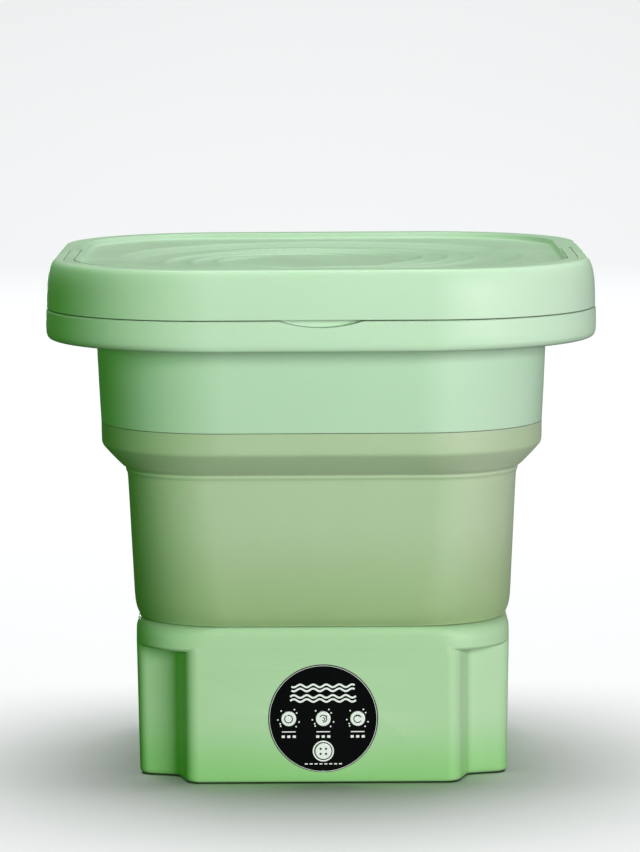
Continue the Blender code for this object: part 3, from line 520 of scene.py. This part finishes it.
def strap(section, end_y, steps=STEPS):
    """Sweep a (half-width, height) section round the front of the lid, from side to side."""
    rings = []
    for half, z in section:
        reach = half - RIM_CENTRE
        row = [(-half, end_y, z)]
        for step in range(steps + 1):
            angle = math.pi + step * math.pi / 2 / steps
            row.append((-RIM_CENTRE + reach * math.cos(angle), -RIM_CENTRE + reach * math.sin(angle), z))
        for step in range(steps + 1):
            angle = math.pi * 1.5 + step * math.pi / 2 / steps
            row.append((RIM_CENTRE + reach * math.cos(angle), -RIM_CENTRE + reach * math.sin(angle), z))
        row.append((half, end_y, z))
        rings.append(row)
    return loft([list(station) for station in zip(*rings)])


def lug_places():
    reach = 9.5 + GAP
    return [side * HINGE_SPACING + offset for side in (-1, 1) for offset in (-reach - 8.0, reach)]


def handle_pin_x(side):
    """Low end along X of the handle's pin on one side."""
    return HANDLE_PIN_INNER_X if side > 0 else -HANDLE_PIN_INNER_X - HANDLE_PIN_LENGTH


def lid_shell(material):
    inner = [(12, 0, 310.8, 0), (117, 0, 311.2, 2), (127, 0, 314.2, 2), (146, RIM_CENTRE, 314.6, 1),
             (147.5, RIM_CENTRE, 309, 1), (161, RIM_CENTRE, 309, 2), (164.5, RIM_CENTRE, 305, 1.5),
             (166.4, RIM_CENTRE, 299, 1), (166.6, RIM_CENTRE, 291.5, 0.5)]
    outer = [(169.4, RIM_CENTRE, 291.5, 0.7), (169.3, RIM_CENTRE, 299, 3), (169.0, RIM_CENTRE, 306, 3),
             (168.4, RIM_CENTRE, 311.5, 2.5), (167.3, RIM_CENTRE, 316, 1.5), (166.2, RIM_CENTRE, 319, 1.2),
             (164.8, RIM_CENTRE, 320.7, 0.9), (163.2, RIM_CENTRE, LID_TOP_Z, 0.8),
             (151, RIM_CENTRE, LID_TOP_Z, 0.6), (150.2, RIM_CENTRE, 319.2, 0.6),
             (149.3, RIM_CENTRE, 317.6, 0.8),
             (127.5, 0, 317.2, 1.0), (125, 0, 316.3, 1.0), (116, 0, 314.3, 1.2), (114, 0, 314.2, 0)]
    rings = [outline(*point) for point in softened(inner + outer, steps=3)]
    for radius in range(113, 18, -1):
        floor_z = 313.6 + 0.6 * (radius - 18) / 96
        rings.append([(x, y, floor_z + swirl(radius, math.atan2(y, x) % (2 * math.pi)))
                      for x, y, _ in outline(radius, 0, 0)])
    shell = make("lid_shell", loft(rings), material)
    for side in (-1, 1):
        join(shell, rod((side * HINGE_SPACING - 9.5, HINGE_Y, HINGE_Z), "X", 19.0, KNUCKLE_RADIUS, 32, 0.3))
    for x in lug_places():
        cut(shell, block((x - 0.5, HINGE_Y - 10, 290), (x + 8.5, HINGE_Y + 8, HINGE_Z + 4.1)))
    for side in (-1, 1):
        cut(shell, rod((side * HINGE_SPACING - 15, HINGE_Y, HINGE_Z), "X", 30, HINGE_PIN_RADIUS + GAP, 24))
    inside = HANDLE_INNER - 0.6
    outside = HANDLE_OUTER + GAP
    floor_z = HANDLE_BOTTOM_Z - GAP
    cut(shell, strap([(inside, floor_z), (outside, floor_z), (outside, 325), (inside, 325)], HANDLE_Y + 3))
    for side in (-1, 1):
        low_x = inside - 0.2 if side > 0 else -outside - 0.2
        high_x = low_x + outside - inside + 0.4
        cut(shell, block((low_x, HANDLE_Y - 4.7, 310.8), (high_x, HANDLE_Y + 7.2, 326)))
        cut(shell, rod((handle_pin_x(side) - GAP, HANDLE_Y, HANDLE_Z), "X", HANDLE_PIN_LENGTH + 2 * GAP,
                       HANDLE_PIN_RADIUS + GAP, 24))
    return settle(shell, "lid", ["lid"])


def handle_strap(material):
    section = softened([(HANDLE_INNER, HANDLE_BOTTOM_Z, 0.4), (HANDLE_OUTER, HANDLE_BOTTOM_Z, 0.4),
                        (HANDLE_OUTER, LID_TOP_Z, 0.6), (HANDLE_INNER, LID_TOP_Z, 0.6)], closed=True)
    handle = make("carry_strap", strap(section, HANDLE_Y), material)
    for side in (-1, 1):
        middle_x = side * (HANDLE_INNER + HANDLE_OUTER) / 2
        join(handle, rod((middle_x - 2.7, HANDLE_Y, HANDLE_Z), "X", 5.4, 4.0, 40, 0.5))
        cut(handle, rod((middle_x - 5, HANDLE_Y, HANDLE_Z), "X", 10, HANDLE_PIN_RADIUS + GAP, 24))
    return settle(handle, "handle", ["carry_handle"])


def lid_inner_parts(finishes):
    plate = [(165.3, RIM_CENTRE, 299.0, 0.5), (165.3, RIM_CENTRE, 301.0, 0.5), (20, 0, 301.0, 0)]
    face = [(20, 0, 299.0, 0), (96, 0, 299.0, 0.5), (97, 0, 299.7, 0.5), (101, 0, 299.7, 0.5),
            (102, 0, 299.0, 0.5), (140, RIM_CENTRE, 299.0, 0.5), (141, RIM_CENTRE, 299.6, 0.5),
            (143, RIM_CENTRE, 299.6, 0.5), (144, RIM_CENTRE, 299.0, 0.5)]
    liner = make("lid_liner_panel", loft([outline(*point) for point in softened(face + plate, steps=3)]),
                 finishes["white"])
    settle(liner, "lid", ["lid_liner"])
    seal = softened([(150, RIM_CENTRE, 298.7, 0.3), (150.3, RIM_CENTRE, 292.4, 1.0),
                     (151.5, RIM_CENTRE, 291.4, 0.7), (152.7, RIM_CENTRE, 292.4, 1.0),
                     (153, RIM_CENTRE, 298.7, 0.3)], closed=True)
    ring = make("lid_seal_ring", loft([outline(*point) for point in seal], closed=True), finishes["rubber"])
    settle(ring, "lid", ["lid_seal"])


# Rim, band and soft barrel --------------------------------------------------------------
def rim(material):
    profile = [(165.6, 61, RIM_BOTTOM_Z, 0.4), (167.2, 61, RIM_BOTTOM_Z, 0.8), (168.9, 63, 273.2, 0.9),
               (169.8, 66, 275.6, 1.2), (170, RIM_CENTRE, 280, 2), (169.8, RIM_CENTRE, 290.3, 0.5),
               (169.2, RIM_CENTRE, RIM_TOP_Z, 0.5), (134.8, BAND_CENTRE, RIM_TOP_Z, 0.6),
               (134.1, BAND_CENTRE, 290.3, 0.5), (134.1, BAND_CENTRE, 262, 0.6),
               (136.2, BAND_CENTRE, 262, 0.6), (136.2, BAND_CENTRE, 288.2, 1.5), (150, 64, 288.2, 3),
               (157, RIM_CENTRE, 284, 2), (165.6, RIM_CENTRE, 284, 1), (166.2, RIM_CENTRE, 281, 1)]
    rings = [outline(*point) for point in softened(profile, closed=True, steps=3)]
    part = make("rim_shell", loft(rings, closed=True), material)
    lug = []
    for step in range(17):
        angle = step * math.pi / 16
        lug.append((HINGE_Y + KNUCKLE_RADIUS * math.cos(angle), HINGE_Z + KNUCKLE_RADIUS * math.sin(angle)))
    lug += [(HINGE_Y - KNUCKLE_RADIUS, 289.5), (HINGE_Y + KNUCKLE_RADIUS, 289.5)]
    for low_x in lug_places():
        join(part, loft([[(x, y, z) for y, z in lug] for x in (low_x, low_x + 8.0)]))
    for side in (-1, 1):
        cut(part, rod((side * HINGE_SPACING - 30, HINGE_Y, HINGE_Z), "X", 60, HINGE_PIN_RADIUS + GAP, 24))
    half_width = 25.5
    depth = 4.0
    radius = (half_width ** 2 + depth ** 2) / (2 * depth)
    spread = math.asin(half_width / radius)
    crescent = []
    for step in range(33):
        angle = math.pi * 1.5 - spread + 2 * spread * step / 32
        crescent.append((radius * math.cos(angle), RIM_TOP_Z - depth + radius + radius * math.sin(angle)))
    crescent += [(half_width, 295), (-half_width, 295)]
    cut(part, loft([[(x, y, z) for x, z in crescent] for y in (-175, -163)]))
    return settle(part, "upper", ["top_rim"])


def band(material):
    profile = [(137, 220, 0.5), (138.1, 242, 4), (139.4, 272, 2), (139.9, 287.9, 0.4), (137.3, 287.9, 0.4),
               (136.8, 272, 2), (134.4, 220, 0.5)]
    points = [(half, BAND_CENTRE, z, blend) for half, z, blend in profile]
    rings = [outline(*point) for point in softened(points, closed=True)]
    part = make("upper_band_shell", loft(rings, closed=True), material)
    return settle(part, "upper", ["upper_band"])


BARREL_WALL = 2.5
BARREL_LOW = 98.3
BARREL_HIGH = 219.7


def barrel(material):
    """Soft wall: a shoulder under the band, a waist with its bead, and a straight fall to the base."""
    outer = [(137, 60, BARREL_HIGH), (136.95, 60, 215), (136.8, 60, 208.6), (136.3, 60.5, 206.4),
             (134.8, 61.5, 204.5), (131.6, 63.5, 201.2), (127.6, 66, 197.4), (124.2, 69, 194.5),
             (122.4, 69.6, 193.2), (121.6, 70, 192.2), (121.65, 70, 191.3), (121.3, 70, 190.2),
             (120.7, 70, 188.8), (120.3, 70, 184), (119.6, 68, 168), (118.9, 66, 150), (118.1, 63, 130),
             (117.4, 60, 112), (116.7, 58, 105), (115.7, BASE_CENTRE, 101.3), (114.6, BASE_CENTRE, 99.2),
             (114.4, BASE_CENTRE, BARREL_LOW)]
    curve = splined(outer, 4)
    inner = [(half - BARREL_WALL, centre, z) for half, centre, z in reversed(curve)]
    rings = [outline(*point) for point in curve + inner]
    part = make("soft_barrel_wall", loft(rings, closed=True), material)
    settle(part, "base", ["soft_barrel"], angle=60)
    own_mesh(part)
    return part


# Base -----------------------------------------------------------------------------------
def filleted(before, corner, after, radius, steps):
    """Points of the arc that rounds a corner between two neighbouring (x, y) points."""
    corner = Vector(corner)
    incoming = (Vector(before) - corner).normalized()
    outgoing = (Vector(after) - corner).normalized()
    half_angle = math.acos(incoming.dot(outgoing)) / 2
    centre = corner + (incoming + outgoing).normalized() * (radius / math.sin(half_angle))
    touch = radius / math.tan(half_angle)
    first = corner + incoming * touch - centre
    last = corner + outgoing * touch - centre
    turn = math.atan2(first.x * last.y - first.y * last.x, first.dot(last))
    points = []
    for step in range(steps + 1):
        angle = turn * step / steps
        points.append((centre.x + first.x * math.cos(angle) - first.y * math.sin(angle),
                       centre.y + first.x * math.sin(angle) + first.y * math.cos(angle)))
    return points


def plus_outline(half, inset, z, outer_fillet=9.0, inner_fillet=5.0):
    """A square with a drafted notch out of each corner, all corners rounded."""
    low = (half, ARM_HALF - inset)
    notch = (NOTCH_VERTEX - inset, NOTCH_VERTEX - inset)
    high = (ARM_HALF - inset, half)
    quadrant = filleted((half, 0), low, notch, outer_fillet, 8)
    quadrant += filleted(low, notch, high, inner_fillet, 6)
    quadrant += filleted(notch, high, (0, half), outer_fillet, 8)
    points = []
    for turn in range(4):
        cosine = round(math.cos(turn * math.pi / 2))
        sine = round(math.sin(turn * math.pi / 2))
        points += [(cosine * x - sine * y, sine * x + cosine * y, z) for x, y in quadrant]
    return points


def base_shell(material):
    hem = [(0.8, 1.6), (1.1, 0.9), (1.8, 0.4), (3.0, 0.1), (5.0, 0.0)]
    lower = [plus_outline(114.6 - inset, inset, z) for z, inset in hem]
    lower += [plus_outline(115.25, 0, 45), plus_outline(115.7, 0, 72), plus_outline(115.85, 0, 80),
              plus_outline(115.95, 0, 85.2)]
    shell = make("base_shell", loft(lower), material)
    ring = [(114.6, SHOULDER_CENTRE, 82.6, 0.8), (116.0, SHOULDER_CENTRE, 84.0, 0.8),
            (116.0, SHOULDER_CENTRE, 90, 3), (115.9, SHOULDER_CENTRE - 3, 94, 2),
            (114.8, SHOULDER_CENTRE - 8, 96.8, 1.2), (113.0, BASE_CENTRE, 98, 0)]
    join(shell, loft([outline(*point) for point in softened(ring)]))
    cut(shell,
        loft([plus_outline(112.0, WALL, -1), plus_outline(112.6, WALL, 86.8)]),
        loft([outline(113.4, SHOULDER_CENTRE - 6, 85.8), outline(113.4, BASE_CENTRE + 6, 95.4)]),
        loft([outline(104, TUB_CENTRE, 90), outline(104, TUB_CENTRE, 103)]))
    front = PANEL_FACE_Y - 10
    cut(shell, rod((0, front, PANEL_Z), "Y", 11.5, PANEL_RADIUS + GAP, 96),
        rod((0, front, PANEL_Z), "Y", 20, PANEL_SKIRT_RADIUS + GAP, 96),
        rod((0, REAR_FACE_Y - 10, DRAIN_Z), "Y", 20, 8.4, 48),
        rod((SOCKET_X, REAR_FACE_Y - 10, SOCKET_Z), "Y", 20, 5.8, 48))
    return settle(shell, "base", ["base_housing"])


def feet_and_screws(finishes):
    profile = softened([(0, 0, 0), (3.0, 0, 0.2), (3.4, 0.6, 0.2), (4.6, 0.6, 0.2), (5.0, 0, 0.2),
                        (8.2, 0, 0.5), (9, 0.9, 0.4), (9, 2.7, 0.2), (0, 2.7, 0)])
    screw_head = softened([(0, 0, 0), (2.9, 0, 0.3), (3.4, 0.4, 0.3), (3.4, 1.5, 0.2), (1.4, 1.5, 0.1),
                           (1.4, 16.2, 0.4), (0, 17.2, 0)])
    for word_y, y in (("front", -1), ("rear", 1)):
        for word_x, x in (("left", -1), ("right", 1)):
            name = word_y + "_" + word_x
            place = (x * FOOT_X, y * FOOT_Y, 0)
            foot = make("rubber_foot_" + name, moved(turned(profile, 48), place), finishes["rubber"])
            settle(foot, "base", ["foot_" + name])
            place = (x * COVER_SCREW_X, y * COVER_SCREW_Y, 2.4)
            screw = make("cross_screw_" + name, moved(turned(screw_head, 32), place), finishes["steel"])
            for long_x, long_y in ((2.0, 0.45), (0.45, 2.0)):
                cut(screw, block((place[0] - long_x, place[1] - long_y, 1.0),
                                 (place[0] + long_x, place[1] + long_y, 3.3)))
            settle(screw, "base", ["cover_screw_" + name])


def rear_fittings(finishes):
    bend = 12.0
    path = [(DRAIN_Y, 83.7, 0.0), (DRAIN_Y, DRAIN_Z + bend, 0.0)]
    for step in range(1, 9):
        angle = step * math.pi / 16
        path.append((DRAIN_Y + bend * (1 - math.cos(angle)), DRAIN_Z + bend * (1 - math.sin(angle)), angle))
    straight = [8.0] * len(path)
    barbs = [8, 8, 7.6, 8, 7.6, 8, 7.6, 8, 7.4]
    for distance in (14, 12.6, 12, 8.6, 8, 4.6, 4, 0.8, 0):
        path.append((SPOUT_END_Y - distance, DRAIN_Z, math.pi / 2))
    bore = [6.0] * len(path)
    rings = []
    for radii, stations in ((straight + barbs, path), (bore, path[::-1])):
        for radius, (y, z, tilt) in zip(radii, stations):
            ring = []
            for step in range(32):
                angle = step * math.pi / 16
                across = radius * math.sin(angle)
                ring.append((radius * math.cos(angle), y + across * math.cos(tilt),
                             z + across * math.sin(tilt)))
            rings.append(ring)
    pipe = make("drain_spout", loft(rings, closed=True), finishes["white"])
    settle(pipe, "base", ["drain_pipe"])

    def grip(radius, height, angle):
        return -0.35 * (0.5 + 0.5 * math.cos(18 * angle)) if radius > 9.5 and height > 0.5 else 0.0

    profile = softened([(0, -9, 0), (5.2, -9, 0.4), (5.7, -8, 0.4), (5.7, -4.4, 0.2), (5.45, -4, 0.2),
                        (5.45, -3.2, 0.2), (5.7, -2.8, 0.2), (5.7, 0.3, 0.1), (10, 0.3, 0.3), (10, 3.7, 0.5),
                        (9.2, 4.5, 0.5), (7.0, 4.5, 0.3), (6.6, 4.0, 0.3), (0, 4.0, 0)])
    cap = make("drain_plug", moved(turned(profile, 108, grip), (0, SPOUT_END_Y, DRAIN_Z), FACING_REAR),
               finishes["rubber"])
    settle(cap, "cap", ["drain_cap"])
    profile = softened([(0, -11, 0), (5.5, -11, 0.2), (5.5, 0.3, 0.1), (7.5, 0.3, 0.3), (7.5, 1.8, 0.4),
                        (7.0, 2.2, 0.3), (3.3, 2.2, 0.2), (2.9, 1.8, 0.2), (2.9, -7, 0.1), (1.0, -7, 0.1),
                        (1.0, -0.3, 0.2), (0, 0, 0)])
    socket = make("power_inlet", moved(turned(profile, 64), (SOCKET_X, REAR_FACE_Y, SOCKET_Z), FACING_REAR),
                  finishes["black"])
    settle(socket, "base", ["dc_socket"])


# Control panel --------------------------------------------------------------------------
BUTTONS = [("mode_button_left", -BUTTON_SPACING, 0.0, BUTTON_RADIUS),
           ("mode_button_middle", 0.0, 0.0, BUTTON_RADIUS),
           ("mode_button_right", BUTTON_SPACING, 0.0, BUTTON_RADIUS),
           ("power_button", 0.0, -POWER_DROP, POWER_RADIUS)]
PRINT = 0.07               # thickness of the printed marks


def fascia(material):
    skirt = PANEL_SKIRT_RADIUS
    profile = softened([(0, PANEL_PROUD, 0), (PANEL_RADIUS, PANEL_PROUD, 0.7), (PANEL_RADIUS, -1.2, 0.2),
                        (skirt, -1.2, 0.1), (skirt, -10.1, 0.2), (skirt - 1.8, -10.1, 0.2),
                        (skirt - 1.8, -1.2, 0.1), (0, -1.2, 0)])
    panel = make("control_fascia", moved(turned(profile, 128), (0, PANEL_FACE_Y, PANEL_Z), FACING_FRONT),
                 material)
    for _, across, up, radius in BUTTONS:
        cut(panel, rod((across, PANEL_FACE_Y - 5, PANEL_Z + up), "Y", 10, radius + GAP, 48))
    bottom = PANEL_Z - PANEL_RADIUS
    notch = [(-1.7, bottom - 1), (1.7, bottom - 1), (0.25, bottom + 1.9), (-0.25, bottom + 1.9)]
    cut(panel, loft([[(x, y, z) for x, z in notch] for y in (PANEL_FACE_Y - 3, PANEL_FACE_Y + 3)]))
    return settle(panel, "base", ["control_panel"])


def ribbon(points, width, back_y):
    """A flat printed stroke along (x, z) points, standing PRINT proud of back_y."""
    rings = []
    for index, (x, z) in enumerate(points):
        ax, az = points[max(index - 1, 0)]
        bx, bz = points[min(index + 1, len(points) - 1)]
        length = math.hypot(bx - ax, bz - az)
        nx = -(bz - az) / length * width / 2
        nz = (bx - ax) / length * width / 2
        rings.append([(x + nx, back_y, z + nz), (x + nx, back_y - PRINT, z + nz),
                      (x - nx, back_y - PRINT, z - nz), (x - nx, back_y, z - nz)])
    return loft(rings)


def hoop(x, z, radius, width, back_y, steps=64):
    """A flat printed ring."""
    rings = []
    for step in range(steps):
        angle = 2 * math.pi * step / steps
        ring = []
        for reach, y in ((radius, back_y), (radius, back_y - PRINT), (radius - width, back_y - PRINT),
                         (radius - width, back_y)):
            ring.append((x + reach * math.cos(angle), y, z + reach * math.sin(angle)))
        rings.append(ring)
    return loft(rings, closed=True)


def spot(x, z, radius, back_y, steps=20):
    """A flat printed dot."""
    ring = []
    for step in range(steps):
        angle = 2 * math.pi * step / steps
        ring.append((x + radius * math.cos(angle), z + radius * math.sin(angle)))
    return loft([[(px, y, pz) for px, pz in ring] for y in (back_y, back_y - PRINT)])


def merged(bodies):
    """Put several separate closed bodies into one bmesh."""
    whole = bmesh.new()
    for body in bodies:
        mesh = bpy.data.meshes.new("part")
        body.to_mesh(mesh)
        body.free()
        whole.from_mesh(mesh)
        bpy.data.meshes.remove(mesh)
    return whole


def fascia_print(material):
    """Plain marks: waves, dots and dashes at each button and a ring round the lowest; the thin white ring at
    the edge is a painted highlight.
    """
    face = PANEL_FACE_Y - PANEL_PROUD - 0.01
    marks = []
    for row, (up, half_width) in enumerate(((19.2, 19.4), (12.6, 20.2))):
        for offset in (-1.25, 1.25):
            points = []
            for step in range(73):
                x = -half_width + 2 * half_width * step / 72
                lift = 0.85 * math.sin(2 * math.pi * (x / 8.0 + row * 0.5))
                points.append((x, PANEL_Z + up + offset + lift))
            marks.append(ribbon(points, 1.15, face))
    for _, across, up, _ in BUTTONS[:3]:
        for degrees in (133, 58, 36, -18, -47, 186, 211, 223):
            reach = 6.7 if degrees not in (36, 211) else 6.1
            angle = math.radians(degrees)
            z = PANEL_Z + up + reach * math.sin(angle)
            marks.append(spot(across + reach * math.cos(angle), z, 0.48, face))
        z = PANEL_Z - 8.2
        marks.append(ribbon([(across - 4.2, z), (across + 4.2, z)], 0.6, face))
        z = PANEL_Z - 11.2
        for offset in (-3.4, 0.0, 3.4):
            marks.append(ribbon([(across + offset - 0.95, z), (across + offset + 0.95, z)], 1.5, face))
    marks.append(hoop(0, PANEL_Z - POWER_DROP, 6.5, 0.85, face))
    # Painted highlight: a thin white ring along the fascia's edge, where the edge catches light.
    marks.append(hoop(0, PANEL_Z, PANEL_RADIUS - 0.4, 0.25, face, 128))
    z = PANEL_Z - 28.3
    for index in range(8):
        x = -10.5 + 3.0 * index
        marks.append(ribbon([(x - 0.9, z), (x + 0.9, z)], 0.7, face))
    part = make("fascia_marks", merged(marks), material)
    return settle(part, "base")


def curl(across, z, start, end, inner, outer, width, face):
    """A curved stroke whose radius runs from inner to outer."""
    points = []
    for step in range(41):
        t = step / 40
        angle = math.radians(start + (end - start) * t)
        reach = inner + (outer - inner) * t
        points.append((across + reach * math.cos(angle), z + reach * math.sin(angle)))
    return ribbon(points, width, face)


def buttons(finishes):
    face = PANEL_FACE_Y - BUTTON_PROUD - 0.005
    icons = {
        "mode_button_left": [curl(-BUTTON_SPACING, PANEL_Z, 125, 470, 2.5, 2.3, 0.62, face)],
        "mode_button_middle": [curl(0, PANEL_Z + 0.1, 150, -90, 2.2, 2.2, 0.6, face),
                               curl(0, PANEL_Z - 0.2, 110, -120, 0.9, 1.0, 0.55, face),
                               ribbon([(1.6, PANEL_Z + 2.2), (2.3, PANEL_Z + 1.5)], 0.6, face)],
        "mode_button_right": [curl(BUTTON_SPACING, PANEL_Z, 20, 330, 2.3, 2.4, 0.6, face),
                              curl(BUTTON_SPACING, PANEL_Z + 0.9, 15, 165, 1.1, 1.1, 0.5, face)],
        "power_button": [spot(x, PANEL_Z - POWER_DROP + up, 0.72, face) for x in (-1.65, 1.65)
                         for up in (-1.6, 1.6)],
    }
    for name, across, up, radius in BUTTONS:
        profile = softened([(0, -5.6, 0), (radius, -5.6, 0.2), (radius, -2.9, 0.1), (radius + 0.8, -2.9, 0.1),
                            (radius + 0.8, -1.6, 0.1), (radius, -1.6, 0.1), (radius, BUTTON_PROUD, 0.55),
                            (0, BUTTON_PROUD, 0)])
        body = moved(turned(profile, 64), (across, PANEL_FACE_Y, PANEL_Z + up), FACING_FRONT)
        key = make(name + "_cap", body, finishes["white"])
        settle(key, name, [name])
        icon = make(name + "_icon", merged(icons[name]), finishes["print_dark"])
        settle(icon, name)


# Inside ---------------------------------------------------------------------------------
def tub_floor(finishes):
    corner = TUB_CENTRE
    profile = [(8.3, 0, 70, 0), (13, 0, 70, 0.4), (13, 0, 86, 1.5), (99, corner, 86, 1.5),
               (103.5, corner, 89, 1.0), (103.5, corner, 98.3, 0.4), (111.4, corner, 98.3, 0.3),
               (111.4, corner, 100.3, 0.6), (101, corner, 100.3, 1.0), (101, corner, 91.5, 1.5),
               (98, corner, 89, 2.0), (12.5, 0, 89, 0.8), (11.5, 0, 90.6, 0.5), (8.3, 0, 90.6, 0)]
    rings = [outline(*point) for point in softened(profile, closed=True, steps=3)]
    floor = make("tub_floor_pan", loft(rings, closed=True), finishes["white"])
    join(floor, rod((0, DRAIN_Y, 76), "Z", 11, 11, 48))
    cut(floor, rod((0, DRAIN_Y, 75), "Z", 9, 8.3, 48), rod((0, DRAIN_Y, 80), "Z", 15, 6, 48))
    settle(floor, "base", ["tub_floor"])
    profile = softened([(0, 0, 0), (8.5, 0, 0.2), (8.5, 1.0, 0.4), (7.5, 1.4, 0.3), (0, 1.4, 0)])
    strainer = make("drain_grille", moved(turned(profile, 48), (0, DRAIN_Y, 89.3)), finishes["white"])
    for index in range(6):
        angle = index * math.pi / 3
        cut(strainer, rod((4.6 * math.cos(angle), DRAIN_Y + 4.6 * math.sin(angle), 88), "Z", 4, 1.3, 16))
    settle(strainer, "base", ["drain_strainer"])


def pulsator(material):
    """Disc with four rounded fins that sweep out from the post."""
    profile = softened([(4.3, 0, 0), (61, 0, 0.3), (62, 1.0, 0.4), (61.5, 2.4, 0.6), (54, 3.8, 2),
                        (14, 5.0, 2), (10, 7, 1.5), (9, 10, 1.5), (8.6, 24, 0.4), (8.0, 24.6, 0.3),
                        (4.6, 24.6, 0.3), (4.6, 12.2, 0.2), (1.9, 12.2, 0.1), (1.9, 8.9, 0.1),
                        (4.3, 8.9, 0.1)], closed=True)
    disc = make("pulsator_disc", moved(turned(profile, 96), (0, 0, PULSATOR_Z)), material)
    for index in range(4):
        crest = []
        for step in range(13):
            reach = 8.8 + (56.0 - 8.8) * step / 12
            rise = 12.8 - 5.5 * smoothstep((reach - 30) / 26)
            width = 2.0
            row = [(-width, 3.2), (-width, rise - 1.6), (-width * 0.55, rise - 0.4), (0, rise),
                   (width * 0.55, rise - 0.4), (width, rise - 1.6), (width, 3.2)]
            crest.append([(reach, across, height) for across, height in row])
        fin = moved(loft(crest), (0, 0, PULSATOR_Z), Matrix.Rotation((index + 0.25) * math.pi / 2, 4, "Z"))
        join(disc, fin)
    return settle(disc, "drive", ["pulsator"])


def basket(material):
    profile = softened([(0, 121, 0), (9, 121, 1.0), (11.6, 119.5, 1.0), (12.4, 108, 1.0), (92, 107.4, 3),
                        (97.5, 111, 2), (101, 179, 0.5), (101.6, 180, 0.4), (104.5, 180, 0.8),
                        (104.5, 177.2, 0.4), (103.2, 177.2, 0.3), (99.6, 110, 2), (94.5, 104.6, 2),
                        (9.6, 104.6, 0.5), (9.6, 118.6, 0.4), (0, 118.6, 0)])
    part = make("spin_basket_shell", turned(profile, 128), material)
    for index in range(24):
        turn = Matrix.Rotation((index + 0.9) * math.pi / 12, 4, "Z")
        half = 2.0 if index % 3 == 0 else 1.2
        low, high = (125, 165) if index % 3 == 0 else (132, 158)
        slot = rod((88, 0, low + half), "X", 24, half, 20)
        middle = block((88, -half, low + half), (112, half, high - half))
        cut(part, moved(slot, turn=turn), moved(middle, turn=turn),
            moved(rod((88, 0, high - half), "X", 24, half, 20), turn=turn))
    for count, reach in ((12, 34.0), (18, 56.0), (24, 78.0)):
        for index in range(count):
            angle = (index + 0.5) * 2 * math.pi / count
            cut(part, rod((reach * math.cos(angle), reach * math.sin(angle), 100), "Z", 12, 1.6, 12))
    return settle(part, "basket", ["spin_basket"])


def pins(finishes):
    for side, word in ((-1, "left"), (1, "right")):
        pin = make("hinge_rod_" + word,
                   rod((side * HINGE_SPACING - HINGE_PIN_LENGTH / 2, HINGE_Y, HINGE_Z), "X",
                       HINGE_PIN_LENGTH, HINGE_PIN_RADIUS, 32, 0.25),
                   finishes["steel"])
        settle(pin, "upper", ["hinge_pin_" + word])
        pin = make("handle_rod_" + word,
                   rod((handle_pin_x(side), HANDLE_Y, HANDLE_Z), "X", HANDLE_PIN_LENGTH,
                       HANDLE_PIN_RADIUS, 32, 0.25),
                   finishes["steel"])
        settle(pin, "lid", ["handle_pin_" + word])


def finish_cad_nodes(finishes):
    """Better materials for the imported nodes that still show."""
    keys = {
        "base": ["bottom_cover"],
        "zinc": ["motor_bracket", "motor_case", "socket_nut"],
        "steel": ["motor_screw_front", "motor_screw_rear", "motor_shaft", "drive_shaft", "lower_bearing",
                  "upper_bearing", "pulsator_screw"],
        "white": ["motor_pulley", "driven_pulley"],
        "rubber": ["drive_belt", "shaft_seal"],
        "board": ["control_board"],
        "black": ["mode_switch_left", "mode_switch_middle", "mode_switch_right", "power_switch"],
    }
    for key, names in keys.items():
        for name in names:
            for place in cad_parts[name].material_slots:
                place.material = finishes[key]


# Assembly -------------------------------------------------------------------------------
def main():
    place_camera()
    floor_and_backdrop(*light_scene())
    finishes = make_finishes()
    finish_cad_nodes(finishes)
    lid_shell(finishes["green"])
    handle_strap(finishes["green"])
    lid_inner_parts(finishes)
    rim(finishes["green"])
    band(finishes["band"])
    barrel(finishes["soft"])
    base_shell(finishes["base"])
    fascia(finishes["black"])
    fascia_print(finishes["print_white"])
    buttons(finishes)
    feet_and_screws(finishes)
    rear_fittings(finishes)
    tub_floor(finishes)
    pulsator(finishes["white"])
    basket(finishes["blue"])
    pins(finishes)
    bpy.context.scene.view_settings.view_transform = "Standard"


main()
